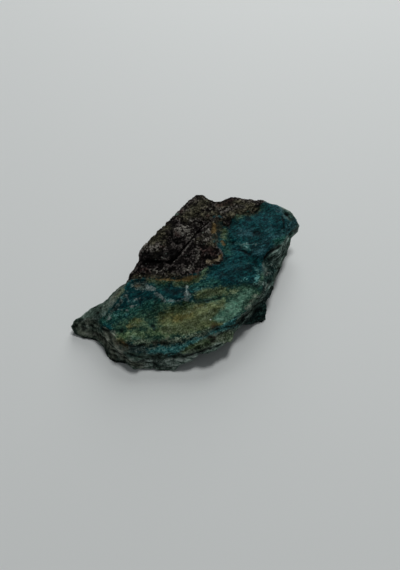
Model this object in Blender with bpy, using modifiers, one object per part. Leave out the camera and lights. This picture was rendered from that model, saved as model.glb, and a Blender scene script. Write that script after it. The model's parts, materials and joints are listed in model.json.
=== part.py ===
"""Rough turquoise: one broken slab of turquoise with its dark host rock, lying on its flat side.

The stone is one solid. It is laid out the way a hill is surveyed. From MIDDLE, every bearing has
a foot on the table, a girth, a shelf and a crest, and inside the crest the top follows a few spot
heights. Steps, ribs, hollows and layering are then worked into that form. X runs along the slab,
-Y is its thin front edge and +Z is up. Sizes are in millimetres until the mesh is made.
"""

import math

import bmesh
import bpy
import numpy as np
from mathutils import Vector, noise

MM = 0.001
NAME = "rough_turquoise"

# --- Driving dimensions ---------------------------------------------------------------------

MIDDLE = (4.0, 0.0)  # where the bearings start

# The girth is the widest line, seen from above: x, y and height, clockwise from the left tip.
GIRTH = [
    (-45.5, -19.0, 4.0), (-44.0, -16.5, 4.5), (-41.5, -15.0, 5.0), (-37.0, -11.0, 6.0),
    (-32.0, -8.5, 7.5), (-27.5, -5.5, 9.0), (-23.0, -3.0, 12.0), (-21.0, -0.5, 15.0),
    (-17.5, 4.5, 16.5), (-17.5, 8.0, 18.0), (-12.0, 14.5, 18.5), (-4.0, 24.5, 18.5),
    (1.5, 32.0, 18.5), (4.5, 35.5, 18.5), (7.5, 35.5, 18.5), (9.5, 33.5, 18.0),
    (13.0, 32.5, 18.0), (16.5, 33.0, 17.5), (20.0, 35.0, 17.5), (22.5, 34.5, 17.5),
    (25.0, 35.5, 17.5), (28.5, 33.5, 17.5), (33.5, 34.0, 17.0), (35.0, 32.0, 16.5),
    (39.0, 32.0, 16.0), (43.0, 30.5, 15.5), (45.5, 29.0, 14.5), (46.0, 27.0, 13.5),
    (48.5, 26.0, 12.0), (47.5, 24.0, 11.0), (44.5, 20.0, 10.0), (43.0, 15.0, 9.0),
    (40.5, 10.0, 8.0), (37.5, 3.5, 8.0), (36.0, -1.0, 8.0), (34.5, -7.0, 7.0),
    (32.5, -9.5, 5.0), (33.5, -12.0, 5.0), (32.5, -14.0, 3.5), (29.0, -15.5, 2.5),
    (27.0, -15.5, 3.0), (24.0, -18.0, 4.5), (20.5, -21.5, 6.5), (18.5, -25.5, 7.5),
    (14.0, -28.0, 7.5), (7.5, -30.5, 6.5), (0.0, -33.5, 3.5), (-3.5, -35.0, 2.0),
    (-8.0, -35.0, 1.5), (-12.5, -34.0, 1.5), (-19.5, -32.5, 1.5), (-27.0, -30.0, 2.0),
    (-30.5, -27.0, 2.5), (-32.0, -24.5, 3.0), (-35.5, -22.5, 3.0), (-42.5, -21.0, 3.0),
]

# The foot is where the sides meet the table. The front right is undercut, so its foot lies back.
FOOT = [
    (-40.0, -18.5, 0.0), (-35.0, -12.5, 0.0), (-26.5, -7.0, 0.0), (-20.0, -1.0, 0.0),
    (-15.5, 7.5, 0.0), (-9.5, 13.5, 0.0), (-2.5, 25.0, 0.0), (4.5, 31.0, 0.0),
    (15.5, 33.0, 0.0), (26.0, 31.5, 0.0), (36.5, 31.0, 0.0), (42.0, 24.0, 0.0),
    (39.0, 13.5, 0.0), (34.5, 3.0, 0.0), (32.5, -5.0, 0.0), (32.0, -12.0, 0.0),
    (28.5, -14.5, 0.0), (22.0, -15.5, 0.0), (14.0, -20.0, 0.0), (4.0, -24.5, 0.0),
    (-4.0, -32.0, 0.0), (-12.0, -33.0, 0.0), (-21.0, -31.0, 0.0), (-29.5, -26.5, 0.0),
    (-33.0, -22.5, 0.0),
]

# How far the side stands out between foot and girth: bearing in degrees and bulge.
BULGES = [
    (-170.0, 0.0), (-150.0, 0.0), (-80.0, 0.0), (-40.0, -1.0), (-10.0, -0.8), (20.0, 0.8),
    (38.0, -0.8), (55.0, 1.8), (75.0, -0.6), (95.0, 1.6), (112.0, -1.4), (135.0, 0.4),
    (160.0, -1.2),
]

# The shelf is the upper edge of the broken side. Along the front it is the lip of the teal ledge.
SHELF = [
    (-43.5, -18.5, 5.0), (-39.5, -14.5, 6.0), (-30.5, -8.5, 8.5), (-22.0, -3.5, 13.5),
    (-19.0, 1.0, 16.0), (-16.5, 6.5, 17.5), (-11.5, 14.0, 18.8), (-3.5, 24.0, 18.8),
    (5.0, 34.0, 18.8), (8.5, 33.0, 18.5), (14.0, 31.5, 18.3), (22.0, 33.0, 18.0),
    (30.0, 32.5, 17.8), (38.0, 30.5, 17.0), (44.0, 27.5, 15.5), (45.0, 24.5, 13.0),
    (43.5, 18.5, 12.5), (42.0, 14.0, 12.0), (39.5, 9.5, 11.5), (36.5, 4.5, 11.5),
    (34.8, -1.0, 11.5), (33.5, -5.0, 11.0), (31.0, -8.5, 10.5), (28.0, -12.0, 10.5),
    (24.0, -16.5, 10.0), (20.0, -20.5, 9.5), (17.0, -22.5, 9.5), (13.0, -25.0, 9.5),
    (7.0, -28.0, 9.0), (1.0, -30.0, 8.0), (-4.0, -31.5, 7.0), (-11.5, -32.0, 6.5),
    (-18.5, -32.0, 6.0), (-23.0, -31.0, 5.5), (-28.5, -27.5, 5.5), (-31.5, -23.0, 6.0),
    (-36.0, -20.5, 5.5),
]

# The crest is the edge of the broad top face.
CREST = [
    (-32.5, -18.0, 9.5), (-29.5, -15.0, 11.5), (-26.5, -12.0, 13.0),
    (-24.0, -8.5, 14.0), (-21.0, -4.5, 15.0), (-17.5, 0.5, 16.5), (-15.0, 6.0, 18.0),
    (-9.5, 13.0, 19.2), (-2.0, 23.0, 19.3), (5.0, 32.0, 19.3), (9.5, 31.0, 19.0),
    (15.0, 30.0, 18.8), (22.5, 31.5, 18.4), (30.0, 31.0, 18.0), (37.0, 28.5, 17.4),
    (41.5, 25.0, 16.4), (42.0, 17.5, 15.5), (39.0, 12.0, 15.8), (33.0, 6.0, 16.0),
    (31.3, 2.0, 15.5), (31.0, -0.7, 15.0), (30.5, -5.0, 14.5), (29.5, -8.5, 14.0),
    (27.0, -12.5, 13.2), (23.5, -16.5, 12.4), (21.0, -18.3, 12.0), (16.5, -20.7, 11.3),
    (12.5, -22.0, 11.2), (7.5, -24.0, 10.8), (2.0, -26.2, 10.2), (-2.5, -27.4, 9.8),
    (-8.0, -27.6, 9.8), (-14.0, -28.4, 9.6), (-19.7, -28.4, 9.5), (-25.0, -26.8, 9.5),
    (-28.3, -22.4, 10.0), (-30.7, -20.7, 10.0),
]

# Spot heights inside the crest.
SPOTS = [
    (-26.0, -18.0, 11.4), (-20.0, -15.0, 12.9), (-19.0, -7.0, 14.8), (-10.0, -20.0, 12.0),
    (-10.0, -9.0, 15.6), (0.0, -21.0, 12.2), (0.0, -8.0, 15.9), (10.0, -16.0, 13.6),
    (10.0, -4.0, 16.4), (20.0, -12.0, 14.6), (22.0, 0.0, 16.4), (-12.0, 1.0, 17.0),
    (-8.0, 9.0, 18.6), (0.0, 18.0, 19.0), (2.0, 4.0, 17.8), (9.0, 12.0, 18.3),
    (7.0, 26.0, 19.4), (18.0, 26.0, 18.6), (20.0, 14.0, 17.4), (29.0, 10.0, 16.8),
    (30.0, 22.0, 18.0), (37.0, 22.0, 17.2),
]
SPOT_REACH = 7.0  # how far one spot height is felt
CREST_REACH = 8.0  # how far inside the crest its own height is felt

# Steps in the top. As its line is walked, the high side of a step is on the left.
HOST_ROCK_EDGE = [
    (-21.5, -4.0), (-17.0, -3.2), (-13.0, -4.1), (-7.5, -5.1), (-1.5, -4.9), (2.5, -4.3),
    (6.5, -1.8), (9.5, 0.3), (13.0, 1.8), (15.5, 4.5), (15.0, 9.0), (12.5, 13.0),
    (13.5, 18.0), (15.5, 22.0), (19.0, 23.5), (22.5, 27.5), (28.0, 28.5), (33.5, 32.5),
]
HOST_ROCK_FRONT_STEP = [(-19.0, 3.0), (-13.5, 3.6), (-9.5, 3.2), (-6.0, 2.4)]
CRACK_LIP = [
    (12.5, 25.5), (8.7, 20.6), (6.3, 18.0), (3.5, 13.7), (0.7, 10.3), (-1.6, 7.0),
    (-4.4, 4.1), (-7.5, 2.0),
]
SHELL_BREAK = [
    (17.0, 16.5), (20.5, 13.5), (24.0, 11.5), (27.5, 7.5), (29.5, 3.0), (30.5, -1.5),
]
RIGHT_FACET_LIP = [(32.0, 4.0), (32.5, 8.0), (36.5, 12.5), (40.5, 16.5)]
TEAL_LEDGE_BACK = [
    (-25.0, -26.8), (-19.7, -28.4), (-14.0, -28.4), (-7.8, -27.6), (-2.6, -27.4),
    (1.8, -26.2), (7.6, -24.0), (12.7, -22.1), (16.6, -20.7), (21.0, -18.3), (24.5, -15.5),
]
OLIVE_LEDGE_BACK = [
    (-11.5, -32.0), (-4.0, -31.5), (1.0, -30.0), (7.0, -28.0), (13.0, -25.0), (19.0, -21.5),
]
LUMP_BACK = [(23.5, -16.5), (26.9, -13.6), (29.3, -11.2), (31.0, -8.3), (33.5, -5.5)]
UPPER_BAND = [(-16.0, -16.5), (-8.0, -16.0), (0.0, -13.5), (7.0, -9.5), (14.0, -7.0)]
LOWER_BAND = [(-22.0, -21.0), (-12.0, -23.0), (-3.0, -22.0), (6.0, -18.5), (14.0, -13.5)]

# Each step's line, its rise, and how far from the line the ground takes to level out again.
STEPS = [
    (HOST_ROCK_EDGE, 1.0, 5.0),
    (HOST_ROCK_FRONT_STEP, 1.8, 3.5),
    (CRACK_LIP, 1.0, 3.0),
    (SHELL_BREAK, 1.2, 4.0),
    (RIGHT_FACET_LIP, 2.0, 2.5),
    (TEAL_LEDGE_BACK, 1.6, 2.4),
    (OLIVE_LEDGE_BACK, 1.8, 1.8),
    (LUMP_BACK, 2.5, 1.8),
    (UPPER_BAND, 0.7, 3.0),
    (LOWER_BAND, 0.7, 3.0),
]
STEP_WIDTH = 0.55  # the riser of a step, seen from above
LINE_END = 2.5  # a step, a rib or the crack dies out over this length

# Flat breaks low on the sides: a point of each, its bearing and its tilt towards the table.
BREAKS = [
    ((12.0, 31.5, 7.0), 104.0, -24.0), ((27.0, 31.5, 8.5), 82.0, -17.0),
    ((44.5, 25.5, 6.0), 30.0, -32.0), ((-8.5, 17.0, 7.0), 139.0, -20.0),
    ((-17.5, 3.5, 5.0), 158.0, -30.0), ((-30.0, -10.0, 2.5), 118.0, -38.0),
    ((40.5, 10.0, 4.0), -15.0, -38.0),
]
BREAK_REACH = 16.0

# Ribs hang like folded cloth on the front left corner, and the crack is a groove.
RIBS = [
    [(-32.0, -21.5), (-30.0, -25.0), (-26.5, -28.6), (-22.0, -31.6)],
    [(-29.5, -21.5), (-27.8, -25.0), (-24.5, -28.6), (-19.5, -31.2)],
    [(-37.5, -20.0), (-33.5, -21.3), (-31.5, -24.5), (-29.0, -28.0)],
]
RIB_HEIGHT = 0.9
RIB_WIDTH = 1.0
CRACK_DEPTH = 0.8
CRACK_WIDTH = 0.7

# Broken surface: size of the grain of each kind of roughness and how far it stands out.
LAYER_THICKNESS = 2.6  # beds that show on the broken sides
LAYER_LENGTH = 24.0
LAYER_OUT = 0.9
CHIP_SIZE = 6.0
CHIP_OUT = 0.75
TOOTH_SIZE = 2.0
TOOTH_OUT = 0.26
LEAST_ON_TOP = 0.3  # share of the chips that the smooth top keeps
HOLLOW_SIZE = 15.0
HOLLOW_DEPTH = 3.0
FLAT_PATCH = 12.0  # radius of the flat middle of the underside
FLAT_PATCH_EDGE = 8.0  # and the width over which the hollows set in

# The mesh.
BEARINGS = 240
UNDERSIDE, SKIRT, SIDE, BEVEL, TOP = range(5)  # the spans of a section, from below
RINGS = (10, 16, 14, 12, 40)  # rings of points in each span
FINE_CELL = 0.5
EVENING_PASSES = 2
TRIANGLES = 9700
FACING_DOWN = -0.9  # upward part of the normal of a point of the underside
ON_THE_TABLE = 0.16  # anything lower than this rests on the table

# --- Survey -----------------------------------------------------------------------------------


def line_at(line, bearing):
    """Radius and height of a surveyed line at each bearing."""
    points = np.array(line)
    east, north = points[:, 0] - MIDDLE[0], points[:, 1] - MIDDLE[1]
    angle = np.arctan2(north, east)
    radius = np.interp(bearing, *in_order(angle, np.hypot(east, north)), period=math.tau)
    height = np.interp(bearing, *in_order(angle, points[:, 2]), period=math.tau)
    return radius, height


def in_order(angle, value):
    order = np.argsort(angle)
    return angle[order], value[order]


def smooth(value):
    value = np.clip(value, 0.0, 1.0)
    return value * value * (3.0 - 2.0 * value)


def spot_surface(x, y):
    """The top as its spot heights alone would have it."""
    spots = np.array(SPOTS)
    apart = np.hypot(x[:, None] - spots[:, 0], y[:, None] - spots[:, 1])
    weight = np.exp(-((apart / SPOT_REACH) ** 2)) + 1e-6
    return (weight * spots[:, 2]).sum(axis=1) / weight.sum(axis=1)


def along(line, x, y):
    """Signed distance from a line, positive on its left, and 1 beside it falling to 0 at its ends."""
    points = np.array(line)
    starts, runs = points[:-1], np.diff(points, axis=0)
    lengths = np.hypot(runs[:, 0], runs[:, 1])
    east, north = x[:, None] - starts[:, 0], y[:, None] - starts[:, 1]
    share = np.clip((east * runs[:, 0] + north * runs[:, 1]) / lengths**2, 0.0, 1.0)
    apart = np.hypot(east - share * runs[:, 0], north - share * runs[:, 1])
    nearest = apart.argmin(axis=1)
    row = np.arange(len(x))
    side = (runs[:, 0] * north - runs[:, 1] * east)[row, nearest]
    walked = (np.cumsum(lengths) - lengths)[nearest] + share[row, nearest] * lengths[nearest]
    to_an_end = np.minimum(walked, lengths.sum() - walked)
    return np.sign(side) * apart[row, nearest], smooth(to_an_end / LINE_END)


def relief(x, y):
    """How much the steps, the ribs and the crack lift the upper surface."""
    lift = np.zeros_like(x)
    for line, rise, reach in STEPS:
        apart, beside = along(line, x, y)
        lift += beside * rise / 2 * np.tanh(apart / STEP_WIDTH) * np.exp(-np.abs(apart) / reach)
    for line in RIBS:
        apart, beside = along(line, x, y)
        lift += beside * RIB_HEIGHT * np.exp(-((apart / RIB_WIDTH) ** 2))
    apart, beside = along(CRACK_LIP, x, y)
    return lift - beside * CRACK_DEPTH * np.exp(-((apart / CRACK_WIDTH) ** 2))


def span_shares(level):
    """For each span of the section, which points are in or past it and how far through it."""
    start = 0
    for span, rings in enumerate(RINGS):
        yield span, level >= start, np.clip((level - start) / rings, 0.0, 1.0)
        start += rings


def sections(bearing, level):
    """Radius and height of points up the section of their bearing, before any relief."""
    lines = [line_at(line, bearing) for line in (FOOT, GIRTH, SHELF, CREST)]
    none = np.zeros_like(bearing)
    radii = [none] + [radius for radius, _ in lines] + [none]
    heights = [none] + [height for _, height in lines] + [lines[-1][1]]
    bulge = np.interp(np.degrees(bearing), *in_order(*np.array(BULGES).T), period=360.0)
    radius, height = none.copy(), none.copy()
    for span, reached, share in span_shares(level):
        out = (1 - share) * radii[span] + share * radii[span + 1]
        if span == SKIRT:
            out += bulge * np.sin(math.pi * share)
        up = (1 - share) * heights[span] + share * heights[span + 1]
        radius, height = np.where(reached, out, radius), np.where(reached, up, height)
        inside_crest = reached * (span == TOP)
    inward = inside_crest * smooth((radii[TOP] - radius) / CREST_REACH)
    return radius, height, inward


def flat_breaks(points):
    """Takes off what stands beyond the plane of each break, near its middle."""
    for place, heading, tilt in BREAKS:
        heading, tilt = math.radians(heading), math.radians(tilt)
        level_out = math.cos(tilt)
        out = (level_out * math.cos(heading), level_out * math.sin(heading), math.sin(tilt))
        apart = points - place
        beyond = np.maximum(apart @ out, 0.0)
        near = smooth((BREAK_REACH - np.linalg.norm(apart, axis=1)) / (BREAK_REACH / 3))
        points = points - (beyond * near)[:, None] * out
    return points


def surveyed(unit):
    """Moves the points of a unit sphere onto the stone, ring by ring, in millimetres."""
    bearing = np.arctan2(unit[:, 1], unit[:, 0])
    level = (1.0 - np.arccos(np.clip(unit[:, 2], -1.0, 1.0)) / math.pi) * sum(RINGS)
    radius, height, inward = sections(bearing, level)
    x = MIDDLE[0] + radius * np.cos(bearing)
    y = MIDDLE[1] + radius * np.sin(bearing)
    height += inward * (spot_surface(x, y) - height)
    height += smooth((level - sum(RINGS[:SIDE])) / RINGS[SIDE]) * relief(x, y)
    return flat_breaks(np.stack([x, y, height], axis=1))


# --- Broken surface ---------------------------------------------------------------------------


def broken(point, normal):
    """How far a point of the surface stands out from its survey, in millimetres."""
    side = 1.0 - abs(normal.z)
    rough = LEAST_ON_TOP + (1.0 - LEAST_ON_TOP) * side
    long, thick = LAYER_LENGTH, LAYER_THICKNESS
    beds = noise.noise(Vector((point.x / long, point.y / long, point.z / thick)))
    chip = noise.fractal(point / CHIP_SIZE, 0.8, 2.1, 2)
    tooth = noise.noise(point / TOOTH_SIZE + Vector((9.0, 4.0, 7.0)))
    return LAYER_OUT * side * beds + rough * (CHIP_OUT * chip + TOOTH_OUT * tooth)


def hollow(point):
    """The underside is flat in the middle and hollow in places round it."""
    out = math.hypot(point.x - MIDDLE[0], point.y - MIDDLE[1])
    swell = noise.noise(Vector((point.x / HOLLOW_SIZE, point.y / HOLLOW_SIZE, 3.0)))
    away = min(1.0, max(0.0, (out - FLAT_PATCH) / FLAT_PATCH_EDGE))
    return HOLLOW_DEPTH * max(0.0, swell) * away


def roughened(mesh):
    """Breaks the whole surface, and lays the underside flat but for its hollows."""
    normals = [vertex.normal.copy() for vertex in mesh.vertices]
    for vertex, normal in zip(mesh.vertices, normals):
        point = vertex.co / MM
        if normal.z < FACING_DOWN and point.z < FINE_CELL:
            point.z = hollow(point)
        else:
            point += normal * broken(point, normal)
        vertex.co = point * MM


def rested(mesh):
    """Lays the lowest points flat on the table."""
    for vertex in mesh.vertices:
        if vertex.co.z < ON_THE_TABLE * MM:
            vertex.co.z = 0.0


# --- Build ------------------------------------------------------------------------------------


def clear_scene():
    for obj in list(bpy.data.objects):
        bpy.data.objects.remove(obj)


def stone_material():
    """Turquoise as it breaks: blue green, waxy to dull."""
    material = bpy.data.materials.new("raw_turquoise")
    material.use_nodes = True
    shader = material.node_tree.nodes["Principled BSDF"]
    shader.inputs["Base Color"].default_value = (0.030, 0.085, 0.080, 1.0)
    shader.inputs["Roughness"].default_value = 0.55
    shader.inputs["Metallic"].default_value = 0.0
    return material


def blank():
    """A ball with a ring of points for every level of the survey, pulled onto the stone."""
    shape = bmesh.new()
    bmesh.ops.create_uvsphere(shape, u_segments=BEARINGS, v_segments=sum(RINGS), radius=1.0)
    unit = np.array([vertex.co for vertex in shape.verts])
    for vertex, place in zip(shape.verts, surveyed(unit)):
        vertex.co = Vector(place) * MM
    bmesh.ops.recalc_face_normals(shape, faces=shape.faces)
    mesh = bpy.data.meshes.new(NAME)
    shape.to_mesh(mesh)
    shape.free()
    return mesh


def applied(obj):
    """Takes up an object's modifiers into a new mesh."""
    graph = bpy.context.evaluated_depsgraph_get()
    obj.data = bpy.data.meshes.new_from_object(obj.evaluated_get(graph))
    obj.modifiers.clear()


def remeshed(obj):
    even = obj.modifiers.new("even_cells", "REMESH")
    even.mode = "VOXEL"
    even.voxel_size = FINE_CELL * MM
    calm = obj.modifiers.new("calm_cells", "SMOOTH")
    calm.iterations = EVENING_PASSES
    applied(obj)


def thinned(obj):
    obj.data.calc_loop_triangles()
    fewer = obj.modifiers.new("fewer_faces", "DECIMATE")
    fewer.ratio = TRIANGLES / len(obj.data.loop_triangles)
    fewer.use_collapse_triangulate = True
    applied(obj)


def centred(obj):
    """Sets the stone over the origin by the middle of its outline."""
    corners = np.array([vertex.co for vertex in obj.data.vertices])
    low, high = corners.min(axis=0), corners.max(axis=0)
    shift = Vector((-(low[0] + high[0]) / 2, -(low[1] + high[1]) / 2, 0.0))
    for vertex in obj.data.vertices:
        vertex.co += shift


def main():
    clear_scene()
    collection = bpy.data.collections.new(NAME)
    bpy.context.scene.collection.children.link(collection)
    stone = bpy.data.objects.new(NAME, blank())
    collection.objects.link(stone)
    remeshed(stone)
    roughened(stone.data)
    thinned(stone)
    rested(stone.data)
    centred(stone)
    stone.data.materials.clear()
    stone.data.materials.append(stone_material())
    stone.data.shade_smooth()
    stone.data.set_sharp_from_angle(angle=math.radians(35))


main()
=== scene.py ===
"""Rough turquoise: the detailed stone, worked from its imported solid.

The solid is copied and its skin divided into fine cells. The small forms of broken stone are
worked into the skin: the grain and pits of the host rock, the crack, the thin beds and scoops
along the edges. Traces then say where each mineral lies, and one node material mixes their
finishes. Lengths are in millimetres unless a name ends in _m. X runs along the slab with its
pointed end at -X, the thin front edge is at -Y, and the host rock lies on top, at +Z.
"""

import json
import logging
import math
from collections.abc import Mapping, Sequence
from dataclasses import dataclass, field
from enum import Enum
from typing import Any

import bmesh
import bpy
import numpy as np
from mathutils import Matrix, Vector, noise

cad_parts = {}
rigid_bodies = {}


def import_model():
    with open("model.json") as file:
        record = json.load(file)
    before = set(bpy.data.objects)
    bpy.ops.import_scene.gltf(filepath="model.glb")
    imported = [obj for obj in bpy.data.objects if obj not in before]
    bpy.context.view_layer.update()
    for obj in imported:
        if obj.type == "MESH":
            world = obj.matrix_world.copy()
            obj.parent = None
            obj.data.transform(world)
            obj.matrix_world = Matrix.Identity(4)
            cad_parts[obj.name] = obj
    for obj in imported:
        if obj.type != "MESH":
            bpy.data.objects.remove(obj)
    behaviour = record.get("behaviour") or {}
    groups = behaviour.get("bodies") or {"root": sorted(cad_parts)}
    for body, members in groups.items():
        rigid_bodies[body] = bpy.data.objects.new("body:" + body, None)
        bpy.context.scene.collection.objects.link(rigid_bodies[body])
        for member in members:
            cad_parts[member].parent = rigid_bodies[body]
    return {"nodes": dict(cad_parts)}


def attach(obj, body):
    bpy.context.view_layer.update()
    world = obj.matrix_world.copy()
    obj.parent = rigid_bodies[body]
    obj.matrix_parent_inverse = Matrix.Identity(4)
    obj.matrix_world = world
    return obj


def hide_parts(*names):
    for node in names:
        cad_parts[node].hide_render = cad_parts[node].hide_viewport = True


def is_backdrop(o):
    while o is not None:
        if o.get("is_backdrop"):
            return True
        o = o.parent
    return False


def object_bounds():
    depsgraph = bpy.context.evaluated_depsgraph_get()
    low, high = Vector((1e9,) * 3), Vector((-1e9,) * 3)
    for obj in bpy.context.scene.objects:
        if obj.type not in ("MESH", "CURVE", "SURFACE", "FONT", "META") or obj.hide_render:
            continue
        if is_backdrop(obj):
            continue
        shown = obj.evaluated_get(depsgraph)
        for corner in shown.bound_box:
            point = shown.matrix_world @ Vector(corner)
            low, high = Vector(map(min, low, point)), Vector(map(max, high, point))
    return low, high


MM = 0.001
CAD_NODE = "rough_turquoise"
SLOT = "raw_turquoise"
BODY = "root"

MIDDLE = 0.5  # of a share, and of what a noise field gives
BED_TURN = math.radians(24.0)  # the beds run this far round from the slab's length

# How far one noise field, or one set of scattered points, is read from the next.
NOISE_SHIFT = (31.7, -17.3, 11.9)
SCOOP_SHIFT = (5.3, 8.1, -3.7)

# Where a mix node has its inputs and its output, for colours and for values.
COLOUR_UNDER, COLOUR_OVER, COLOUR_OUT = 6, 7, 2
VALUE_UNDER, VALUE_OVER = 2, 3

Array = np.ndarray
Place = tuple[float, ...]
Colour = tuple[float, float, float, float]
Tree = bpy.types.NodeTree
Socket = bpy.types.NodeSocket
Sockets = dict[str, Socket]

log = logging.getLogger("rough_turquoise")


# --- Minerals and where they lie ---------------------------------------------------------------


class Mineral(Enum):
    """The minerals, painted shade and glints that show, named for the attribute that maps each on the
    mesh.
    """

    TEAL = "teal"
    SEA = "sea_blue"
    JADE = "blue_green"
    STEEL = "steel_blue"
    GREEN = "green"
    LIME = "lime"
    OCHRE = "ochre"
    HONEY = "honey"
    OLIVE = "olive"
    SAGE = "sage"
    MINT = "mint"
    BRIGHT = "bright_turquoise"
    FLAKE = "mint_flake"
    FOREST_AND_SHADE = "forest_green"
    CHALK = "chalk"
    NAVY = "navy"
    SLATE = "slate_grey"
    PEWTER = "pewter_grey"
    DRAB = "drab"
    HOST = "host_rock"
    UMBER = "umber"
    ASH = "ash_grey"
    PLUM = "plum"
    TAN = "tan"
    RUST = "rust"
    QUARTZ = "quartz"
    PALE_LINE = "pale_line"
    PAINTED_GLINT = "glint"
    SEAM = "crack_shade"
    PAINTED_SHADE = "painted_shade"


@dataclass(frozen=True)
class Trace:
    """One place of a mineral: a spot, a line or an area.

    Places with two numbers lie on the upper side, seen from above. Places with three numbers lie
    anywhere on the stone. A gap takes the mineral away, and above is the lowest that it reaches.
    """

    places: tuple[Place, ...]
    reach: float = 0.0
    area: bool = False
    gap: bool = False
    above: float | None = None


def lines(*rows: tuple[Any, ...], gap: bool = False) -> tuple[Trace, ...]:
    """Make traces along lines and at spots, from rows that hold a reach and then the places."""
    return tuple(Trace(row[1:], row[0], gap=gap) for row in rows)


TEAL_FIELD = (
    (-24, -4.5), (-25, -7), (-27.4, -11), (-30.8, -15), (-34.5, -18), (-34, -20.5),
    (-32, -22), (-29, -23.5), (-28, -24.5), (-27.5, -27), (-26.5, -28), (-25, -29.5),
    (-21.5, -30.5), (-18, -31), (-12.5, -30.5), (-8.5, -31), (-5, -31), (-2, -30),
    (1, -28), (5, -26), (8.5, -24.5), (12, -23.5), (14.5, -22), (17.5, -20),
    (21, -17.5), (23, -16), (25, -13.5), (27.5, -10), (30, -7), (31.5, -3.5),
    (29.5, -2), (28.5, 1), (30, 3.5), (32, 7.5), (35, 11), (37, 12),
    (41, 17.5), (43.5, 23), (42.5, 25.5), (40, 26), (38, 31.5), (33.5, 34),
    (30, 36), (10, 30), (-15, 2),
)
HOST_PLATE = (
    (-26, -4.5), (-21, -3), (-18.5, -2.5), (-15.5, -3), (-12, -3), (-8.5, -3.5),
    (-6, -3.5), (-3, -3), (-0.5, -2.5), (2, -2), (4, -1.5), (6, 0), (7.5, 1.5),
    (9, 2), (11.5, 2.5), (13.5, 4), (14.5, 5.5), (14, 8), (12.5, 10), (11.5, 11.5),
    (11, 13.5), (12, 15.5), (12, 18.5), (12, 21), (13.5, 22.5), (15, 21.5),
    (17, 19.5), (17.5, 22), (18.5, 24), (20, 26), (23, 26.5), (26.5, 27),
    (28.5, 28.5), (30, 31), (32, 33), (32, 42), (0, 42), (-14, 24),
    (-28, 4),
)
GREEN_FIELD = (
    (-28.5, -21), (-25.5, -19.5), (-21.5, -18), (-16, -16), (-12, -14.5), (-9, -13),
    (-4, -13), (2.5, -12.5), (4.5, -10), (13, -7), (19.5, -6), (27, -4.5),
    (29.5, -8), (27, -11.5), (21.5, -16.5), (15, -20.5), (9, -23.5), (0, -26),
    (-7.5, -27.5), (-18, -28.5), (-26, -27.5), (-28.5, -24),
)
OCHRE_FIELD = (
    (-11, -21), (-9, -17.5), (-4, -15.5), (2, -14), (6.5, -13), (12.5, -12.5),
    (17, -13.5), (15.5, -16), (10, -18.5), (13.5, -21), (9, -23), (0, -24),
    (-7, -24.5),
)
LIME_FIELD = (
    (-28, -25), (-25, -23.6), (-20.5, -23.6), (-15, -24.4), (-16.5, -26.5),
    (-23, -27), (-27, -26.5),
)
MINT_FIELD = (
    (10, -18.9), (13, -16), (16.5, -12.5), (19.8, -9.8), (23.5, -7.7), (25.8, -6),
    (25.3, -8.3), (22.9, -11), (21.2, -13.6), (20, -16.5), (16.5, -19), (12.5, -20.2),
)
UMBER_FIELD = ((-3, 25), (2.5, 30.5), (6, 35), (9, 32), (5, 26.5), (0, 21.5))
STEEL_FACET = (
    (25.5, 9.5), (29.5, 10.5), (34.5, 12), (36.5, 12), (33, 9.5), (29.5, 5.5), (26.5, 7),
)
CRACK = (
    (-7, 3), (-5, 5), (-3, 8), (-1, 10.5), (1, 13), (3, 16), (5, 18.5),
    (7, 20.5), (8.5, 22),
)
CRACK_TAIL = ((10.5, 23.5), (12.5, 25.5), (15, 28))
FRONT_MOAT = ((-18.5, 4.3), (-14.5, 3.8), (-10.5, 3.2), (-7, 3.6), (-4.5, 5.3))
KNOB_MOAT = ((-6.5, 17), (-6, 13.5), (-4, 11.5), (-1.5, 12.5))
TAN_LIP = ((8, 3.4), (9.7, 3.6), (11.3, 4.4), (12.7, 5.2))
BREAK_STEP = ((19, 10), (22.5, 9.5), (25, 7.5))
END_SEAM = ((39, 26), (39.5, 23.5), (39.5, 21))
CREVICE = ((3.5, -12.6), (6, -12.6), (8.9, -11.8), (12.7, -11))
FOLD = ((-36.5, -18), (-33.8, -20.5), (-30.4, -22.4), (-28, -23.6), (-26.5, -25.5))
BAND = (
    (-15, -30), (-11, -30.2), (-7.2, -30.6), (-4.1, -30.4), (0.4, -27.9), (3.9, -26.2),
    (7.2, -24.3), (10.8, -23), (14.9, -21.5), (18.9, -19.4),
)
RIM_SEAM = (
    (-22.5, -31, 7), (-17.9, -32.3, 6.2), (-12.4, -32.8, 6), (-7, -32.9, 5.8),
    (-1.5, -32, 5.8), (3.9, -30.7, 6.7), (7.7, -29.4, 7.4), (12.7, -27.9, 7.7),
)
OVERHANG = ((37.9, 12.8, 15.3), (34.8, 10.6, 15.6), (32.2, 8.4, 16), (30.6, 6, 16.2))
PALE_FACET = ((33.6, 10.5), (39.7, 14.9), (42, 15.7), (39.4, 10.7), (36.6, 6), (33, 5.9))
FLAKE = ((21.1, 12.5), (23.9, 12.9), (25.7, 9.1), (23.4, 9.7), (21.9, 11))
RIGHT_STRIP = (
    (34, -2.5, 11), (31, -6.5, 12), (28.5, -10.5, 11), (25.5, -14.5, 9),
    (22.5, -17.5, 7), (20.5, -19.5, 6.5),
)
RIBS = (
    ((-31.5, -23.5, 8), (-30.5, -27.5, 6), (-29, -30, 2)),
    ((-29, -25, 9), (-27, -29.5, 7), (-25, -32, 3)),
)

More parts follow.
